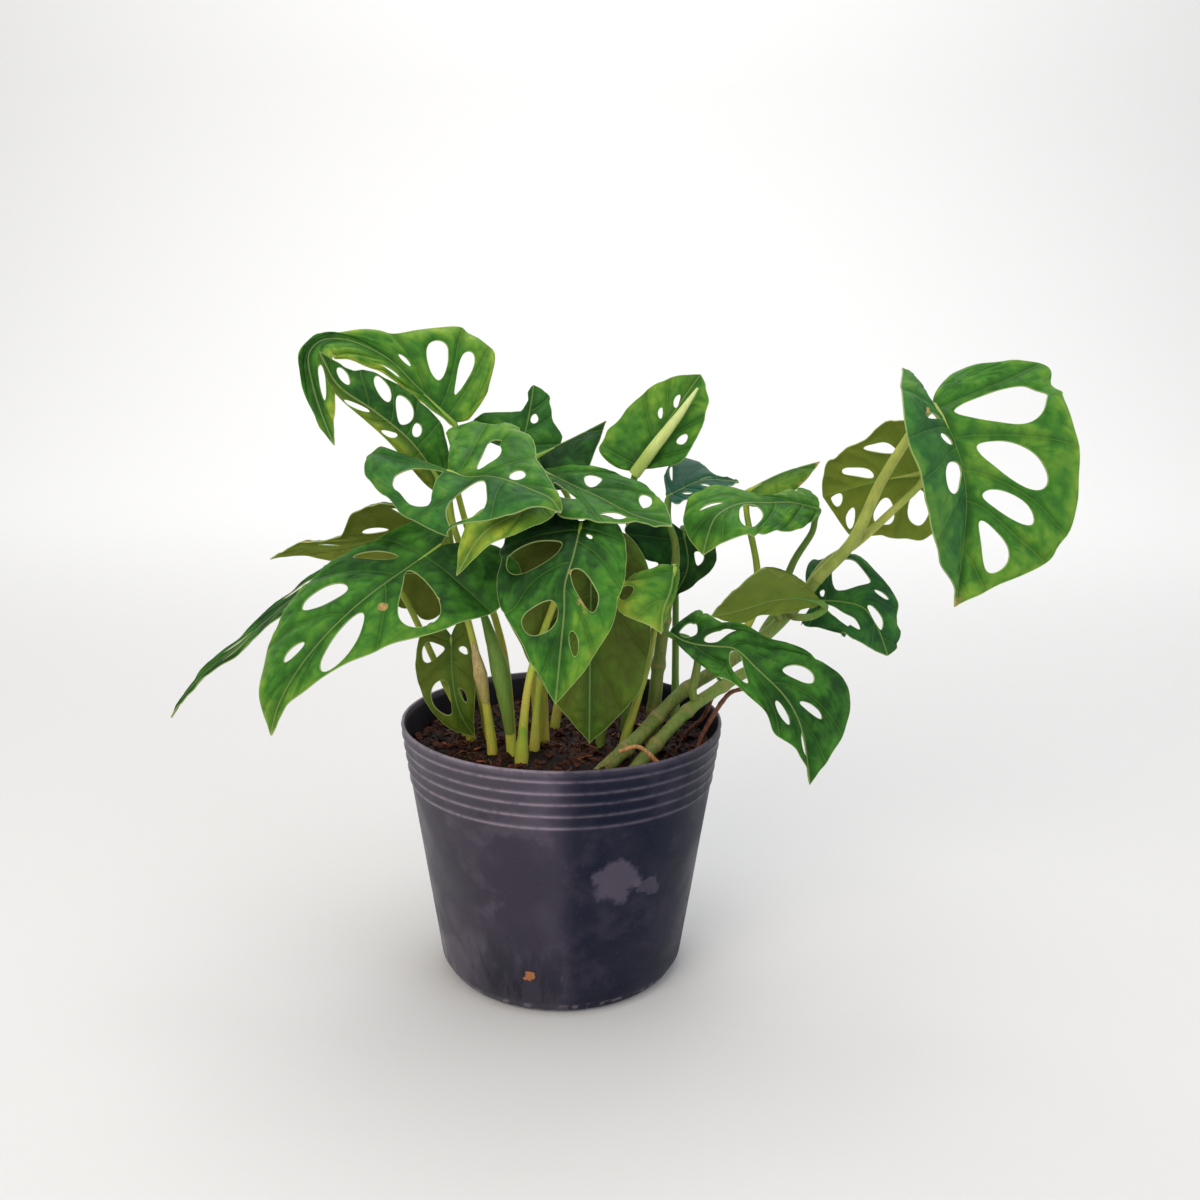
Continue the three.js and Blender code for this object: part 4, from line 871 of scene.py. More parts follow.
            edge=[0.1, 0.1, 0.15, 0.4, 0.8, 0.55, 0.55, 0.75, 0.35, 0.1, 0.15], veins=[0.48, 0.717, 0.8],
            holes=[
                0, [0.61, 0.04, 0.42, 0.38, -0.06], [0.752, 0.02, 0.66, 0.13],
                [0.9, 0.03, 0.49, 0.35, -0.04],
            ],
        ),
        right=dict(
            w=34, fold=0, curl=20, lobe=-0.07,
            edge=[0.1, 0.45, 0.95, 0.6, 0.35, 0.4, 0.7, 1.05, 1.1, 1, 1.15], veins=[0.42, 0.64, 0.795, 0.88],
            holes=[
                [0.315, 0.075, 0.36, 0.28, -0.02], [0.52, 0.05, 0.34, 0.28, -0.04],
                [0.743, 0.023, 0.49, 0.17, -0.01], [0.826, 0.01, 0.5, 0.2, -0.01], 0,
            ],
        ),
        grows=dict(vine="vine_back", at=0.68, towards=[0, 0, 1]),
        stem=[[61, -19, 155], [56, -28, 166], [50, -34, 169]],
        look=dict(tone=(0.36, 0.34), rim=0.12, wave=1.1, spots=[(1, 0.7, 0.24, 2.2, 0.6)]),
    ),
    dict(
        name="leaf_apron",
        rib=[[12, -25, 208], [13, -28, 194], [13, -31, 176], [13, -35, 154], [13, -38, 121]],
        face=[[0, -0.95, 0.25]],
        left=dict(
            w=38, fold=0, curl=12, lobe=0.03, edge=[1.5, 1.25, 1.2, 1.1, 1, 0.85, 0.75, 0.7, 0.35],
            veins=[0.4, 0.62, 0.82], holes=[0, 0, 0, 0],
        ),
        right=dict(
            w=28, fold=0, curl=16, lobe=-0.01, edge=[0.8, 1, 1, 1, 0.95, 1, 1.15, 1.2, 1],
            veins=[0.4, 0.62, 0.82], holes=[0, 0, 0, 0],
        ),
        stem=[[18, -10], [19, -10, 145], [18, -12, 180]],
        look=dict(tone=(0.3, 0.46), rim=0.08, cast=(-0.55, -0.5), wave=0.6),
    ),
    dict(
        name="leaf_low_left",
        rib=[[-50, -12, 162], [-49, -17, 143], [-46, -16, 127], [-40, -13, 115]],
        face=[[0, -0.9, 0.2]],
        left=dict(w=17, fold=0, curl=20, lobe=0.1, holes=[0, 0.8, 0.9, 0]),
        right=dict(w=11, fold=20, curl=20, lobe=0.1, holes=[0, 0.3, 0.3, 0]),
        stem=[[-46, 4], [-50, -2, 140], [-50, -6, 156]],
        look=dict(tone=(0.55, 0.62), cast=(-0.6, -0.6), dry=0.1, wave=0.6),
    ),
    dict(
        name="leaf_shade", rib=[[56, 18, 206], [58, 15, 190], [50, 13, 173]], face=[[0.1, -0.9, 0.2]],
        left=dict(
            w=26, fold=10, curl=5, lobe=0.25, edge=[1.35, 1.1, 1.25, 0.9, 0.7, 1.05, 1.5], veins=[0.4, 0.8],
            holes=[0, 0, 0],
        ),
        right=dict(
            w=16, fold=0, curl=20, lobe=0, edge=[0.9, 0.95, 1.1, 0.9, 0.45, 0.2, 0.3], veins=[0.3, 0.88],
            holes=[0, 0.2, 0],
        ),
        stem=[[54, 12], [54, 24, 150], [54, 29, 192], [56, 25, 207]],
        look=dict(tone=(0.25, 0.3), cast=(0.2, 0), wave=0.6),
    ),
]


def unit(vectors):
    return vectors / np.linalg.norm(vectors, axis=-1, keepdims=True)


# How far a half's margin bulges beyond the common outline, by its list of shares at equal steps of q
def edgeAt(half, q):
    shares = np.array(half.get("edge", [1, 1]), float)
    at = q * (len(shares) - 1)
    i = np.minimum(at.astype(int), len(shares) - 2)
    return shares[i] + (shares[i + 1] - shares[i]) * ease(at - i, 0, 1)


# Point and upper-side normal at q round the margin and t from rib to margin, for arrays of both
def surfaceOf(leaf):
    rib = smoothPath(leaf["rib"])
    faces = np.array(leaf["face"] * (2 if len(leaf["face"]) == 1 else 1), float)

    def pair(side, key):
        value = leaf[side].get(key, 1)
        return value if isinstance(value, list) else [value, value]

    def surface(side, q, t):
        right = side > 0
        pick = {}
        for key in ("w", "fold", "curl", "lobe", "full"):
            pick[key] = [np.where(right, a, b) for a, b in zip(pair("right", key), pair("left", key))]
        w, curl, lobe, full = (pick[key][0] for key in ("w", "curl", "lobe", "full"))
        edge = np.where(right, edgeAt(leaf["right"], q), edgeAt(leaf["left"], q))
        width = np.interp(q ** full, outlineAt, outlineAcross) * edge
        reach = np.interp(q, outlineAt, outlineAlong) - lobe * 6.75 * q * (1 - q) ** 2
        start = q ** leaf.get("start", bladeShape["start"])
        along = start + (reach - start) * t ** bladeShape["sweep"]
        across = w * width * t
        held = np.clip(along, 0, 1)
        heading = unit(onPath(rib, held, "heading"))
        centre = onPath(rib, held) + heading * ((along - held) * rib["length"])[:, None]
        normal = np.stack([np.interp(held, np.linspace(0, 1, len(faces)), faces[:, k]) for k in range(3)], -1)
        normal = unit(normal - heading * (normal * heading).sum(1)[:, None])
        sideways = np.cross(normal, heading) * side[:, None]
        fold = np.radians(pick["fold"][0] + (pick["fold"][1] - pick["fold"][0]) * held)
        bend = np.radians(curl) / w
        tilt = fold - bend * across
        out, rise = (np.sin(fold) - np.sin(tilt)) / bend, (np.cos(tilt) - np.cos(fold)) / bend
        point = centre + sideways * out[:, None] + normal * rise[:, None]
        tilted = normal * np.cos(tilt)[:, None] - sideways * np.sin(tilt)[:, None]
        facing = np.where((t == 0)[:, None], normal, tilted)
        return dict(point=point, facing=facing, along=held, across=across)

    return surface


def apart(first, second):
    return np.linalg.norm(first["point"] - second["point"], axis=1)


# Where the side veins of a half leave the margin
def veinsOf(half):
    spread = np.linspace(bladeShape["first"], bladeShape["last"], len(half["holes"]) - 1)
    return [0, *half.get("veins", spread), 1]


# The patches of one half between its veins, as rows of points from the patch's border in to its hole
def halfPatches(leaf, side, draw):
    half = leaf["right"] if side > 0 else leaf["left"]
    veins = veinsOf(half)
    rise = leaf.get("start", bladeShape["start"])
    widest = max(leaf["left"]["w"], leaf["right"]["w"])
    ribLength = smoothPath(leaf["rib"])["length"]
    veinSteps = int(np.clip(widest / bladeShape["fineness"], 8, 26))
    ribPoints = int(ribLength / bladeShape["fineness"])
    ribQ = np.unique(np.round([*veinsOf(leaf["left"]), *veinsOf(leaf["right"])], 9))
    ribQ = np.unique([*ribQ, *np.linspace(0, 1, ribPoints) ** (1 / rise)])
    ribQ = ribQ[np.append(True, np.diff(ribQ) > 1e-6)]
    for q0, q1, hole in zip(veins, veins[1:], half["holes"]):
        onRib = ribQ[(ribQ > q0 - 1e-7) & (ribQ < q1 - 1e-7)]
        marginSteps = int(np.clip((q1 - q0) * 1.6 * ribLength / bladeShape["fineness"], 6, 26))
        down = np.arange(veinSteps) / veinSteps
        q = np.concatenate([
            onRib, np.full(veinSteps, q1), q1 + (q0 - q1) * np.arange(marginSteps) / marginSteps,
            np.full(veinSteps, q0),
        ])
        t = np.concatenate([np.zeros(len(onRib)), down, np.ones(marginSteps), 1 - down])
        low, high = bladeShape["holeLength"]
        if not isinstance(hole, list):
            halfQ = (q1 - q0) * bladeShape["holeWidth"] * hole
            hole = [(q0 + q1) / 2, halfQ, bladeShape["holeMiddle"], low + (high - low) * hole]
        middle, isOpen, middleT, lengthT, slant = [*hole, 0][:5]
        bulges = draw.uniform(0, 2 * math.pi, 2)
        if isOpen:
            u, v = 2 * (q - q0) / (q1 - q0) - 1, 2 * t - 1
            x, y = u * np.sqrt(1 - v ** 2 / 2), v * np.sqrt(1 - u ** 2 / 2)
            turn = np.arctan2(y, x)
            swell = 1 + 0.05 * np.sin(2 * turn + bulges[0]) + 0.04 * np.sin(3 * turn + bulges[1])
            ringQ = middle + (isOpen * x * (1 + 0.14 * y) + slant * y) * swell
            ringT = middleT + lengthT * y * swell
        else:
            ringQ, ringT = np.full(len(q), middle), np.full(len(q), middleT)
        level = np.array(bladeShape["levels"])[:, None]
        yield dict(
            q=q * (1 - level) + ringQ * level,
            t=t * (1 - level) + ringT * level,
            q0=q0, q1=q1, ringQ=np.broadcast_to(ringQ, (len(level), len(q))),
            ringT=np.broadcast_to(ringT, (len(level), len(q))), isOpen=isOpen > 0,
        )


def makeBlade(leaf, seed):
    surface = surfaceOf(leaf)
    look = leaf["look"]
    draw = np.random.default_rng(seed)
    columns = {key: [] for key in ("side", "q", "t", "veinGap", "edgeGap", "marginGap")}
    quads = []
    count = 0
    for side in (1, -1):
        for patch in halfPatches(leaf, side, draw):
            rows, width = patch["q"].shape
            q, t = patch["q"].ravel(), patch["t"].ravel()
            sides = np.full(len(q), side)
            here = surface(sides, q, t)
            veinGap = np.full(len(q), 99.0)
            for vein in (patch["q0"], patch["q1"]):
                if 0 < vein < 1:
                    veinGap = np.minimum(veinGap, apart(here, surface(sides, np.full(len(q), vein), t)))
            marginGap = apart(here, surface(sides, q, np.ones(len(q))))
            edgeGap = marginGap
            if patch["isOpen"]:
                hole = surface(sides, patch["ringQ"].ravel(), patch["ringT"].ravel())
                edgeGap = np.minimum(edgeGap, apart(here, hole))
            for key, data in (("side", sides), ("q", q), ("t", t), ("veinGap", veinGap), ("edgeGap", edgeGap),
                              ("marginGap", marginGap)):
                columns[key].append(data)
            a = count + np.arange((rows - 1) * width).reshape(rows - 1, width)
            b = np.roll(a, -1, axis=1)
            quad = np.stack([a, b, b + width, a + width], -1).reshape(-1, 4)
            quads.append(quad if side > 0 else quad[:, ::-1])
            count += rows * width
    full = {key: np.concatenate(data) for key, data in columns.items()}
    onRib = (full["t"] < 1e-9) | (full["q"] < 1e-9) | (full["q"] > 1 - 1e-9)
    full["t"] = np.where(onRib, 0, full["t"])
    key = np.stack([np.where(onRib, 0, full["side"]), np.round(full["q"], 7), np.round(full["t"], 7)], -1)
    _, kept, place = np.unique(key, axis=0, return_index=True, return_inverse=True)
    place = place.ravel()
    v = {key: data[kept] for key, data in full.items()}
    faces = []
    for quad in place[np.vstack(quads)].tolist():
        face = list(dict.fromkeys(quad))
        if len(face) > 2:
            faces.append(face)

    at = surface(v["side"], v["q"], v["t"])
    ribGap, veinGap, edgeGap, along = at["across"], v["veinGap"], v["edgeGap"], at["along"]
    size = min(1.0, max(leaf["left"]["w"], leaf["right"]["w"]) / 30)
    places = [Vector(p) + Vector((7 * seed, 0, 0)) for p in at["point"]]
    cells = np.array([noise.voronoi(p / bladeShape["cell"])[0][:2] for p in places])
    netGap = (cells[:, 1] - cells[:, 0]) * bladeShape["cell"]
    slow, lump = (np.array([noise.noise(p / length) for p in places]) for length in (32, 12))
    swelling = ease(veinGap, 0, 5) * ease(ribGap, 0, 4.5) * ease(edgeGap, 0, 3)
    pucker = swelling * ease(netGap, 0, 2.6)
    waves = draw.uniform(5, 7.5)
    phase = draw.uniform(0, 2 * math.pi, 2)
    turns = 2 * math.pi * waves * v["q"]
    ripple = np.sin(turns + phase[0]) + 0.5 * np.sin(2.3 * turns + phase[1])
    lift = size * (bladeShape["quilt"] * swelling + bladeShape["pucker"] * pucker)
    lift += look["wave"] * 0.5 * ripple * v["t"] ** 3 * ease(v["q"], 0, 0.15) * ease(1 - v["q"], 0, 0.12)
    lift += size * bladeShape["waves"] * slow * ease(ribGap, 0, 12)
    lift += size * bladeShape["lumps"] * lump * ease(ribGap, 0, 6)
    nearRib, nearVein = np.exp(-(ribGap / 0.9) ** 2), np.exp(-(veinGap / 0.55) ** 2) * ease(edgeGap, 0, 3)
    over = bladeShape["half"] + 0.1 * nearRib - bladeShape["veinDip"] * nearVein
    below = bladeShape["half"] + bladeShape["veinKeel"] * nearVein
    below = below + bladeShape["keel"] * nearRib * (1 - 0.7 * along)
    base, facing = at["point"] + at["facing"] * lift[:, None], at["facing"]
    points = np.vstack([base + facing * over[:, None], base - facing * below[:, None]])

    number = len(base)
    one = {(a, b) for face in faces for a, b in zip(face, face[1:] + face[:1])}
    walls = [[b, a, a + number, b + number] for a, b in one if (b, a) not in one]
    walls.sort()
    faces = faces + [[i + number for i in reversed(face)] for face in faces] + walls

    # painted light: the swellings between the smaller veins are made lighter
    tone = look["tone"][0] + (look["tone"][1] - look["tone"][0]) * along + 0.1 * pucker - 0.03
    tone += np.where(v["side"] > 0, look.get("right", 0), look.get("left", 0)) * ease(ribGap, 0, 5)
    tone += look.get("rim", 0) * (1 - ease(v["marginGap"], 0, 9))
    dry = look.get("dry", 0.02) * (0.4 + 0.6 * (1 - ease(v["marginGap"], 0, 5)))
    for side, q, t, radius, strength in look.get("spots", []):
        spot = surface(np.array([side]), np.array([q]), np.array([t]))
        gap = np.linalg.norm(at["point"] - spot["point"], axis=1)
        dry = np.maximum(dry, strength * np.exp(-(gap / radius) ** 4))
    castLeft, castRight = look.get("cast", (0, 0))
    cast = np.where(v["side"] > 0, castRight, castLeft) * (0.6 + 0.4 * ease(ribGap, 0, 6))
    values = dict(
        tone=tone, dry=dry, cast=cast, veinGap=veinGap, ribGap=ribGap, edgeGap=edgeGap, netGap=netGap)
    values = {name: np.concatenate([data, data]) for name, data in values.items()}
    values["upper"] = np.concatenate([np.ones(number), np.zeros(number)])
    return makePiece(leaf["name"] + "_blade", points * mm, faces, leafWax, values)


# Leaf stalks and stems

stalkShape = dict(
    radius=(2, 1.3),
    foot=96,
    upright=(104, 112),
    clear=0.3,
    square=3,
    seat=((0, 0.7), (0.014, 0.7), (0.09, 0.7), (0.2, 0.6), (0.32, 0.5)),  # share of the rib, drop under it
    seatEnd=0.4,  # radius where the stalk has run out in the midrib
    knee=0.35,  # swelling just below the blade
    kneeLength=7,
    sheath=0.5,  # swelling of the foot
    sheathLength=30,
)

stems = dict(
    vine_front=dict(
        radius=(3.4, 2.7),
        path=[
            [8, -46, 98], [15, -42, 106], [35, -28, 121], [56, -10, 137],
            [76, -2, 148], [96, 3, 162], [110, 5, 177], [117, 4, 187],
        ],
    ),
    vine_back=dict(
        radius=(3.2, 2.6),
        path=[[24, -46, 98], [31, -40, 107], [44, -30, 120], [58, -21, 132], [72, -14, 140], [84, -9, 146]],
    ),
    vine_upright=dict(
        radius=(3.6, 2.4),
        path=[[42, -8], [43, -8, 135], [45, -6, 156], [48, -2, 178], [51, 2, 192]],
    ),
)

roots = dict(
    root_outer=dict(radius=(1.3, 1), path=[[62, -20], [68, -14, 124], [77, -10, 136], [84, -14, 140]]),
    root_inner=dict(radius=(1.1, 0.9), path=[[58, 0], [66, -2, 122], [70, -6, 134]]),
    root_front=dict(
        radius=(1.1, 0.9),
        path=[[46, -46], [42, -45, 116], [34, -44, 122], [26, -45, 120]],
        skin="dry_aerial_root",
    ),
)


def planted(path):
    (x, y, *height), *rest = path
    if height:
        return path
    return [[x, y, z] for z in (stalkShape["foot"], *stalkShape["upright"])] + rest


def sprouting(grows):
    vine = stems[grows["vine"]]
    path = smoothPath(planted(vine["path"]))
    share = np.array([grows["at"]])
    heading = unit(onPath(path, share, "heading"))[0]
    reach = stalkShape["clear"]
    if "towards" in grows:
        towards = np.array(grows["towards"], float)
        heading = unit(towards - heading * heading.dot(towards))
        reach += vine["radius"][0] + (vine["radius"][1] - vine["radius"][0]) * grows["at"]
    foot = onPath(path, share)[0] + heading * (reach - 0.6)  # just into the vine's skin, where the two join
    return [list(foot), list(foot + heading * stalkShape["square"])]


def makeStalk(leaf, skin):
    shape = stalkShape
    surface = surfaceOf(leaf)
    shares, drops = np.array(shape["seat"]).T
    onRib = shares ** (1 / leaf.get("start", bladeShape["start"]))
    seat = surface(np.ones(len(shares)), onRib, np.zeros(len(shares)))
    seatPoints = seat["point"] - seat["facing"] * drops[:, None]
    start = sprouting(leaf["grows"]) + leaf["stem"] if "grows" in leaf else planted(leaf["stem"])
    path = smoothPath(start + seatPoints.tolist())
    share = np.linspace(0, 1, int(path["length"] / 2) + 8)
    line = onPath(path, share)
    run = share * path["length"]
    bladeAt = path["length"] - smoothPath(leaf["rib"])["length"] * shares[-1]
    thick, thin = leaf.get("thick", shape["radius"])
    girth = thick + (thin - thick) * np.clip(run / bladeAt, 0, 1)
    half = shape["kneeLength"] / 2
    girth += shape["knee"] * np.exp(-((run - bladeAt + half) / half) ** 2)
    if "grows" not in leaf:
        girth += shape["sheath"] * (1 - ease(run, 14, 14 + shape["sheathLength"]))
    girth += (shape["seatEnd"] - girth) * ease(run, bladeAt - 1, path["length"])
    return sweep(leaf["name"] + "_stalk", line, girth, skin, Sides=12, Lumps=0.0001)


stalkSkins = dict.fromkeys(("leaf_hero", "leaf_olive"), "olive_petiole")
for name in ("flag", "right_nod", "apron", "low_right", "blue", "shade", "upright", "olive_fold"):
    stalkSkins["leaf_" + name] = "shaded_petiole"

for seed, leaf in enumerate(leaves):
    standIn(makeBlade(leaf, seed), "leaf", leaf["name"])
    skin = stemSkins[stalkSkins.get(leaf["name"], "fleshy_petiole")]
    standIn(makeStalk(leaf, skin), "stem", leaf["name"])
print("leaves grown:", len(leaves))

# Sheaths left by older leaves, wrapped round a stalk: from and to as shares of the stalk, how far its middle
# lies in front of the stalk's in mm, its radii at the shares of its own length, and its skin
sheathAt = (0, 0.45, 0.8, 1)
sheaths = dict(
    leaf_shield=((0.2, 0.72), 0.7, (2.2, 4.2, 1.9, 0.7), "shaded_petiole"),
    leaf_wing=((0.42, 0.72), 0.9, (1.9, 3.1, 1.9, 0.5), "dry_papery_sheath"),
    leaf_mask=((0.04, 0.3), 0.6, (2.6, 3.1, 1.9, 0.6), "fleshy_petiole"),
)

named = {leaf["name"]: leaf for leaf in leaves}
for name, (span, front, radii, skin) in sheaths.items():
    share = np.linspace(*span, 30)
    line = onPath(smoothPath(planted(named[name]["stem"])), share) - np.array([0, front, 0])
    girth = np.interp(np.linspace(0, 1, len(share)), sheathAt, radii)
    standIn(sweep(name + "_sheath", line, girth, stemSkins[skin], Sides=14, Lumps=0.0003), "stem")

# The new leaf still rolled up beside the upright one
spearShape = dict(radius=2.3, point=0.5, full=2.6)
share = np.linspace(0, 1, 28)
line = onPath(smoothPath(named["leaf_upright"]["spear"]), share)
girth = spearShape["radius"] * (1 - share ** spearShape["full"]) + spearShape["point"]
spear = sweep("leaf_upright_spear", line, girth, stemSkins["rolled_young_leaf"], Sides=14, Lumps=0.00015)
standIn(spear, "leaf", "leaf_upright")

vineSizes = dict(Sides=16, NodeSpacing=0.021, NodeSwell=0.0006, Lumps=0.0003)
rootSizes = dict(Sides=10, Lumps=0.0004, LumpScale=420.0)
# The pieces, their slot, the mm between two points of a line, the usual skin and the tube tree's sizes
for group, slot, gap, skin, sizes in (
    (stems, "stem", 1.2, "green_vine_bark", vineSizes), (roots, "root", 0.8, "aerial_root", rootSizes),
):
    for name, given in group.items():
        path = smoothPath(planted(given["path"]))
        share = np.linspace(0, 1, int(path["length"] / gap))
        thick, thin = given["radius"]
        girth = thick + (thin - thick) * share
        skinned = stemSkins[given.get("skin", skin)]
        standIn(sweep(name + "_skin", onPath(path, share), girth, skinned, **sizes), slot, name)
print("stems and roots grown")


# Pot

potShape = dict(
    rimRadius=75,
    baseRadius=57,
    height=122,
    wall=1.6,
    floor=2.4,
    heel=7,
    lip=1.1,
    rings=(5, 10.5, 15.5, 21, 26.5),
    ringRise=0.5,
    ringHeight=1.6,
    segments=192,
    baseHoles=(4, 36, (45, 135, 225, 315)),  # radius, ring radius, turns
    sideHole=(3, 62),  # radius, height
    sag=0.35,  # the thin wall's waviness
    # Dents: turn, height, width, length, depth
    dents=[(182, 54, 5, 9, 1.1), (176, 46, 3, 5, 0.8), (355, 62, 4, 10, 1.0), (186, 108, 2, 9, 0.8)],
)

# Blow-moulded black polyethylene: waxy, purple-grey with a dry, worn bloom on the left and navy on the right,
# partly clean plastic and partly painted light on the lit left and painted shade on the shaded right;
# wet blotches that shine, pale scuffs on the heel, pale lines on the ridges that are partly scuffs and partly
# painted highlight, and painted shade on the inside wall.
potFinish = dict(
    warm="#302b39",
    # navy of the right side: partly clean plastic, partly painted shade
    shadedNavySide="#0d1326",
    dust="#5a5361",
    wet="#191a26",
    # pale scuffs on the heel and the ridges; on the ridges partly a painted highlight
    scuffAndHighlight="#8b808e",
    grit="#a4683c",
    # colour of the painted shade on the inside wall
    inside="#15131a",
    # Round patches where a splash has dried: x and z of the middle, radius, strength, colour
    splashes=[
        (24, 66, 12, 0.6, "dust"), (38, 60, 5, 0.4, "dust"), (-48, 16, 15, 0.5, "dust"),
        (-12, 21.5, 1.2, 0.9, "grit"),
    ],
)


def outerAt(z):
    return potShape["baseRadius"] + (potShape["rimRadius"] - potShape["baseRadius"]) * z / potShape["height"]


def sagAt(turn, z):
    grow = potShape["sag"] * (z / potShape["height"]) ** 2
    return -grow * (1 + 0.6 * np.sin(3 * turn + 0.7) + 0.4 * np.sin(5 * turn + 2.1))


def dent(turn, z, atTurn, atZ, wide, tall, deep):
    off = (turn - math.radians(atTurn) + math.pi) % (2 * math.pi) - math.pi
    return -deep * np.exp(-(off * 65 / wide) ** 2 - ((z - atZ) / tall) ** 2)


def makePotMaterial():
    look = potFinish
    noises = (
        ("big", "place", 60, 3.0, 0.6), ("patch", "place", 24, 5.0, 0.6), ("fine", "place", 5, 4.0, 0.6),
        ("grain", "place", 1.1, 2.0, 0.6), ("streak", "long", 9, 4.0, 0.6),
    )
    material, tree, part = newMaterial("blow_moulded_polyethylene", ("ridge", "inside"), noises, squeeze=0.22)
    split = add(tree, "SeparateXYZ", {0: part["place"]}).outputs
    part.update(x=split["X"], y=split["Y"], z=split["Z"])
    work(tree, part, (
        ("shift", "ease", "big", 0.3, 0.7, -0.005, 0.005),
        ("drift", "ADD", "x", "shift"),
        # partly painted light and shade: navy right of x = 5 mm where the pot is shaded, purple-grey on the
        # lit left
        ("shadedNavySide", "ease", "drift", -0.004, 0.014, 0, 1),
        ("worn", "ease", "shadedNavySide", 0, 1, 1, 0.35),
        ("low", "ease", "z", 0.012, 0.05, 1, 0),
        ("cloud", "ease", "big", 0.42, 0.66, 0, 0.3),
        ("cloud", "MULTIPLY", "cloud", "worn"),
        ("dusty", "ease", "patch", 0.5, 0.66, 0, 0.4),
        ("dusty", "MULTIPLY", "dusty", "worn"),
        ("wet", "ease", "streak", 0.47, 0.58, 0, 0.75),
        ("wet", "MULTIPLY", "wet", "low"),
        ("wet", "MULTIPLY", "wet", "worn"),
        ("speck", "ease", "grain", 0.62, 0.75, 0, 0.2),
        # partly painted highlight: pale lines along the ring ridges and the lip, over real scuffing
        ("ridgeScuffAndHighlight", "ease", "fine", 0.3, 0.55, 0.35, 0.85),
        ("ridgeScuffAndHighlight", "MULTIPLY", "ridgeScuffAndHighlight", "ridge"),
        ("ridgeScuffAndHighlight", "MULTIPLY", "ridgeScuffAndHighlight", "worn"),
        ("heel", "ease", "z", 0.0035, 0.0075, 1, 0),
        ("heelWorn", "ease", "fine", 0.48, 0.64, 0, 0.6),
        ("heel", "MULTIPLY", "heel", "heelWorn"),
        # painted shade: the inside wall is painted darker
        ("insideShade", "ease", "inside", 0.4, 0.6, 0, 0.9),
        ("front", "ease", "y", -0.02, 0, 1, 0),
        ("ragged", "ease", "patch", 0.3, 0.7, -0.005, 0.005),
        ("frayed", "ease", "fine", 0.3, 0.7, -0.0015, 0.0015),
        ("ragged", "ADD", "ragged", "frayed"),
        ("dull", "ease", "patch", 0.35, 0.65, 0.36, 0.52),
        ("shine", "ease", "wet", 0, 1, 0, -0.16),
        ("dull", "ADD", "dull", "shine"),
        ("gloss", "ease", "shadedNavySide", 0, 1, 0.24, 0.1),
        ("height", "ADD", "fine", "grain"),
    ))
    flat = add(tree, "CombineXYZ", {0: part["x"], 2: part["z"]})
    layers = [("shadedNavySide", "shadedNavySide"), ("cloud", "dust"), ("dusty", "dust"), ("wet", "wet"), ("speck", "dust"),
              ("ridgeScuffAndHighlight", "scuffAndHighlight"), ("heel", "scuffAndHighlight"), ("insideShade", "inside")]
    for x, z, radius, amount, tint in look["splashes"]:
        middle = (x * mm, 0, z * mm)
        part["away"] = add(tree, "VectorMath", {0: flat, 1: middle}, operation="DISTANCE").outputs["Value"]
        spot = "splash {} {}".format(x, z)
        work(tree, part, (
            ("frayed", "ADD", "ragged", "away"),
            ("spot", "ease", "frayed", radius * 0.6 * mm, radius * mm, amount, 0),
            (spot, "MULTIPLY", "spot", "front"),
        ))
        layers.append((spot, tint))
    layers = [(part[share], look[tint]) for share, tint in layers]
    paint(tree, look["warm"], layers, part["height"], 0.3, 0.2,
          Roughness=part["dull"], Specular_IOR_Level=part["gloss"], IOR=1.51)
    return material


def potProfile():
    p = potShape
    rows = [(0, 0, 0, 0), (p["baseRadius"] * 0.5, 0, 0, 0)]
    for turn in np.radians(np.linspace(0, 75, 6)):
        out, up = 1 - math.sin(turn), 1 - math.cos(turn)
        rows.append((p["baseRadius"] - p["heel"] * out, p["heel"] * up, 0, 0))
    marks = [(z, 0, 0) for z in np.linspace(p["heel"], p["height"] - 31, 15)]
    for drop in reversed(p["rings"]):
        for step in (-1.6, -0.8, -0.4, 0, 0.4, 0.8, 1.6):
            rise = math.exp(-(step / 0.6) ** 2)
            marks.append((p["height"] - drop + step * p["ringHeight"] / 1.6, p["ringRise"] * rise, rise))
    rows += [(outerAt(z) + rise, z, ridge, 0) for z, rise, ridge in sorted(marks)]
    middle = p["rimRadius"] - p["wall"] / 2
    for turn in np.radians(np.linspace(0, 180, 7)):
        z = p["height"] - p["lip"] + p["lip"] * math.sin(turn)
        rows.append((middle + p["wall"] / 2 * math.cos(turn), z, 1 if 0.5 < turn < 2.6 else 0.4, 0))
    for z in np.linspace(p["height"] - 5, p["heel"] + p["floor"], 12):
        rows.append((outerAt(z) - p["wall"], z, 0, 1))
    rows += [(p["baseRadius"] - p["heel"], p["floor"], 0, 1), (0, p["floor"], 0, 1)]
    return np.array(rows)


# A profile turned round the upright axis, closed to a point at both ends
def turned(profile, segments, shift):
    turns = np.arange(segments) * 2 * math.pi / segments
    points, index = [], []
    for r, z in profile[:, :2]:
        index.append(np.arange(len(points), len(points) + (segments if r > 0 else 1)))
        radii = r + shift(turns, z) if r > 0 else np.zeros(1)
        points += [(a * math.cos(t), a * math.sin(t), z) for a, t in zip(radii, turns)]
    faces = []
    for below, above in zip(index, index[1:]):
        for k in range(segments):
            n = (k + 1) % segments
            corners = ((below, k), (below, n), (above, n), (above, k))
            face = [ring[at % len(ring)] for ring, at in corners]
            faces.append([int(i) for i in dict.fromkeys(face)])
    return np.array(points), faces


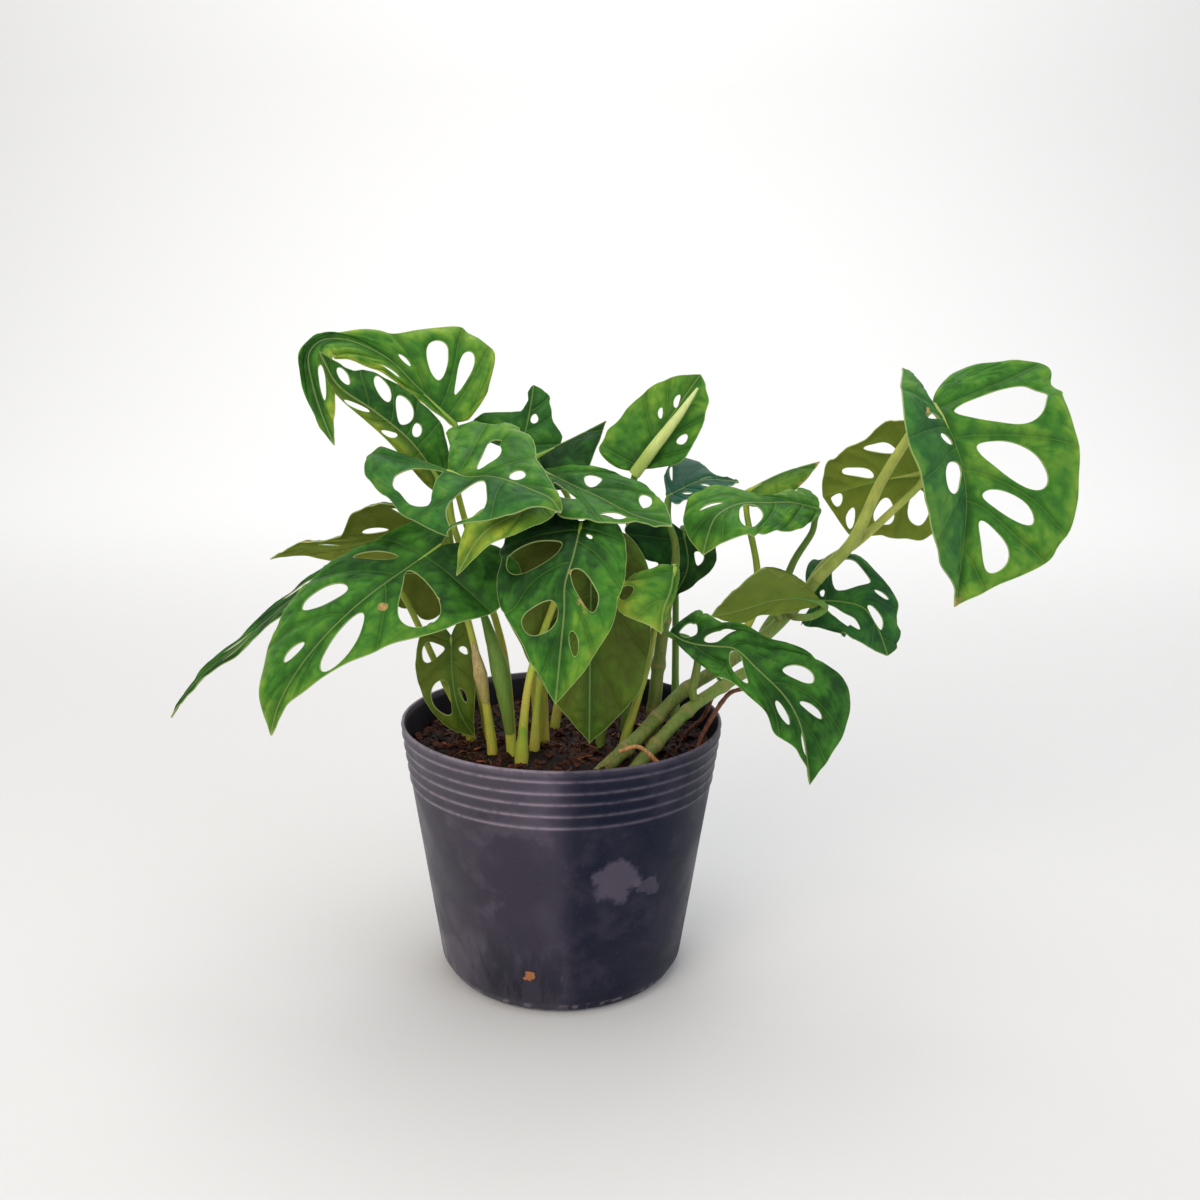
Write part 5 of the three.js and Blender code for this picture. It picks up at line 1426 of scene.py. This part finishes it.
def makePot():
    profile = potProfile()
    p = potShape

    def shift(turn, z):
        moved = sagAt(turn, z)
        for place in p["dents"]:
            moved = moved + dent(turn, z, *place)
        return moved

    points, faces = turned(profile, p["segments"], shift)
    ridges, insides = [], []
    for r, z, ridge, inside in profile:
        ridges += [ridge] * (p["segments"] if r > 0 else 1)
        insides += [inside] * (p["segments"] if r > 0 else 1)
    values = dict(ridge=ridges, inside=insides)
    pot = makePiece("pot_shell", points * mm, faces, makePotMaterial(), values, sharp=60)
    cutters = []
    radius, ring, turns = p["baseHoles"]
    for turn in np.radians(turns):
        cutters.append((radius, (ring * math.cos(turn), ring * math.sin(turn), p["floor"] / 2), (0, 0, 0), 8))
    radius, height = p["sideHole"]
    for side in (-1, 1):
        cutters.append((radius, (side * outerAt(height), 0, height), (0, math.pi / 2, 0), 14))
    for radius, place, turn, depth in cutters:
        bpy.ops.mesh.primitive_cylinder_add(
            vertices=32, radius=radius * mm, depth=depth * mm, location=Vector(place) * mm, rotation=turn)
        cutter = bpy.context.object
        hole = pot.modifiers.new("hole", "BOOLEAN")
        hole.operation = "DIFFERENCE"
        hole.solver = "EXACT"
        hole.object = cutter
        bpy.context.view_layer.update()
        makePlain(pot)
        bpy.data.objects.remove(cutter)
    return pot


standIn(makePot(), "pot", "pot")
print("pot moulded")


# Soil

soilShape = dict(
    top=108,
    mound=3,
    gap=0.7,
    segments=150,
    rows=44,
    rough=1.5,  # height of the crumbs and hollows
)


def soilHeight(x, y):
    share = math.hypot(x, y) / (outerAt(soilShape["top"]) - 2.3)
    base = soilShape["top"] + soilShape["mound"] * (1 - share ** 2) + 0.9 * math.sin(x / 7) * math.cos(y / 6)
    here = Vector((x, y, 0))
    lumps = 1.1 * noise.noise(here / 9) + 0.7 * noise.noise(here / 3.6) + 0.45 * noise.noise(here / 1.5)
    edge = min(1.0, (1 - share) * 12)
    return base + soilShape["rough"] * lumps * edge


# Coir and bark mix: near-black, damp and matt, with reddish crumbs
def makeSoilMaterial(name, colours, damp, size):
    material, tree, part = newMaterial(name, noises=[("crumbs", "place", size, 5.0, 0.7)])
    flecks = add(tree, "TexVoronoi", {"Vector": part["place"], "Scale": 1000 / (size / 1.4)})
    part["chance"] = add(tree, "SeparateColor", {0: flecks.outputs["Color"]})
    work(tree, part, (
        ("light", "range", "chance", 0.72, 0.9, 0, 0.5),
        ("dull", "range", "crumbs", 0.3, 0.7, damp, 0.95),
    ))
    brown = add(tree, "ValToRGB", {0: part["crumbs"]}, colours)
    paint(tree, brown, [(part["light"], colours[-1][1])], part["crumbs"], 0.7, 0.8,
          Roughness=part["dull"], Specular_IOR_Level=0.2)
    return material


def makeSoil():
    s, p = soilShape, potShape
    inner = outerAt(s["top"]) - p["wall"] - s["gap"]
    low = p["heel"] + p["floor"]
    profile = [(0, p["floor"] + s["gap"]), (p["baseRadius"] - p["heel"] - 1, p["floor"] + s["gap"])]
    profile += [(outerAt(z) - p["wall"] - s["gap"], z) for z in np.linspace(low, s["top"] - 4, 6)]
    profile += [(inner * (1 - i / s["rows"]), s["top"]) for i in range(s["rows"])] + [(0, s["top"])]
    points, faces = turned(np.array(profile), s["segments"], sagAt)
    for point in points:
        if point[2] > s["top"] - 0.1:
            point[2] = soilHeight(point[0], point[1])
    peat = makeSoilMaterial("damp_coir_mix", [
        (0.3, "#080403"), (0.5, "#140a08"), (0.66, "#2a150f"), (0.85, "#4a261a")], 0.6, 5)
    return makePiece("soil_body", points * mm, faces, peat, sharp=80)


soilBody = makeSoil()
standIn(soilBody, "soil", "soil")


# Geometry Nodes tree that strews pieces over the soil's top and roughens them: crumbs, bark chips or fibres
def makeStrewTree(kind):
    tree, part = newTree("strewn_" + kind, dict(
        Density=1000.0, Seed=1, Length=0.004, Smallest=0.4, Largest=1.0, Tilt=0.5, Rough=0.0006, Lift=0.0))
    flat = (1.0, 1.0, 1.0)
    if kind == "crumb":
        shape = add(tree, "GeometryNodeMeshIcoSphere", {"Radius": 0.5, "Subdivisions": 1})
        flat = (1.0, 0.8, 0.7)
    elif kind == "chip":
        shape = add(tree, "GeometryNodeMeshCube", {0: (1.0, 0.5, 0.16), 1: 3, 2: 2, 3: 2})
    else:
        bow = {0: 7, 1: (-0.5, 0.0, -0.04), 2: (0.0, 0.22, 0.3), 3: (0.5, 0.0, -0.04)}
        ring = add(tree, "GeometryNodeCurvePrimitiveCircle", {"Resolution": 4, "Radius": 0.022})
        line = add(tree, "GeometryNodeCurveQuadraticBezier", bow)
        shape = add(tree, "GeometryNodeCurveToMesh", {0: line, 1: ring, 2: 1.0, 3: True})
    part["upward"] = add(tree, "SeparateXYZ", {0: add(tree, "GeometryNodeInputNormal")}).outputs[2]
    part["height"] = add(tree, "SeparateXYZ", {0: add(tree, "GeometryNodeInputPosition")}).outputs[2]
    work(tree, part, (
        ("isTop", "GREATER_THAN", "upward", 0.35),
        ("isHigh", "GREATER_THAN", "height", 0.1),
        ("isFree", "MULTIPLY", "isTop", "isHigh"),
        ("back", "MULTIPLY", "Tilt", -1.0),
    ))
    spread = add(tree, "GeometryNodeDistributePointsOnFaces",
                 {0: part["Geometry"], 1: part["isFree"], 4: part["Density"], 6: part["Seed"]})
    low = add(tree, "CombineXYZ", {0: part["back"], 1: part["back"], 2: 0.0})
    high = add(tree, "CombineXYZ", {0: part["Tilt"], 1: part["Tilt"], 2: 6.283})
    drawn = {}
    for name, salt, data, least, most in (
        ("turn", 11.0, "FLOAT_VECTOR", low, high),
        ("size", 23.0, "FLOAT", part["Smallest"], part["Largest"]),
        ("squash", 31.0, "FLOAT_VECTOR", (0.7, 0.6, 0.6), (1.2, 1.1, 1.2)),
    ):
        work(tree, part, [("seed", "ADD", "Seed", salt)])
        first = 0 if data == "FLOAT_VECTOR" else 2
        inputs = {first: least, first + 1: most, 8: part["seed"]}
        drawn[name] = add(tree, "FunctionNodeRandomValue", inputs, data_type=data)
    fog = add(tree, "TexNoise", {"Scale": 1000 / 2.4, "Detail": 2.0}).outputs["Color"]
    for name, operation, inputs in (
        ("long", "SCALE", {0: (1.0, 1.0, 1.0), "Scale": drawn["size"]}),
        ("sized", "SCALE", {0: "long", "Scale": part["Length"]}),
        ("squash", "MULTIPLY", {0: drawn["squash"], 1: flat}),
        ("scale", "MULTIPLY", {0: "squash", 1: "sized"}),
        ("centred", "SUBTRACT", {0: fog, 1: (0.5, 0.5, 0.5)}),
        ("shove", "SCALE", {0: "centred", "Scale": part["Rough"]}),
        ("move", "ADD", {0: "shove", 1: add(tree, "CombineXYZ", {2: part["Lift"]})}),
    ):
        inputs = {key: drawn[value] if isinstance(value, str) else value for key, value in inputs.items()}
        drawn[name] = add(tree, "VectorMath", inputs, operation=operation)
    inputs = {0: spread, 2: shape, 5: drawn["turn"], 6: drawn["scale"]}
    copies = add(tree, "GeometryNodeInstanceOnPoints", inputs)
    whole = add(tree, "GeometryNodeRealizeInstances", {0: copies})
    moved = add(tree, "GeometryNodeSetPosition", {0: whole, 3: drawn["move"]})
    done = add(tree, "GeometryNodeSetMaterial", {0: moved, 2: part["Material"]})
    add(tree, "NodeGroupOutput", {0: done})
    return tree


strewTrees = {kind: makeStrewTree(kind) for kind in ("crumb", "chip", "fibre")}
soilStuffs = dict(
    crumb=makeSoilMaterial("coir_crumbs", [(0.3, "#0e0605"), (0.55, "#25120c"), (0.85, "#4d281b")], 0.65, 3),
    bark=makeSoilMaterial("composted_bark", [(0.3, "#180b08"), (0.5, "#371a11"), (0.8, "#6b3b28")], 0.6, 2.5),
    orange=makeSoilMaterial("fresh_bark", [(0.3, "#6b3420"), (0.55, "#a55b38"), (0.85, "#c98a5c")], 0.6, 2.5),
    fibre=makeSoilMaterial("coir_fibre", [(0.3, "#4a2c1b"), (0.55, "#7d4f31"), (0.85, "#ab7b50")], 0.6, 2),
)
# Kind, stuff, and the sizes of the strew tree
strewn = dict(
    soil_crumbs=("crumb", "crumb", dict(Density=110000.0, Seed=3, Length=0.0026, Tilt=3.1, Rough=0.0012)),
    soil_bark=("chip", "bark", dict(
        Density=30000.0, Seed=5, Length=0.0062, Tilt=0.7, Rough=0.0016, Lift=0.0005)),
    soil_orange_bark=("chip", "orange", dict(
        Density=2600.0, Seed=8, Length=0.0055, Tilt=0.6, Rough=0.0014, Lift=0.0007)),
    soil_fibres=("fibre", "fibre", dict(
        Density=9000.0, Seed=13, Length=0.011, Tilt=0.9, Rough=0.0024, Lift=0.0003)),
)
for name, (kind, stuff, sizes) in strewn.items():
    piece = bpy.data.objects.new(name, soilBody.data.copy())
    scene.collection.objects.link(piece)
    growWith(piece, strewTrees[kind], Material=soilStuffs[stuff], **sizes)
    standIn(piece, "soil")
    print(name, "faces:", len(piece.data.polygons))


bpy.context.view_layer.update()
faceCounts = {piece.name: len(piece.data.polygons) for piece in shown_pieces()}
print("faces in all:", sum(faceCounts.values()), "most:", max(faceCounts.items(), key=lambda item: item[1]))
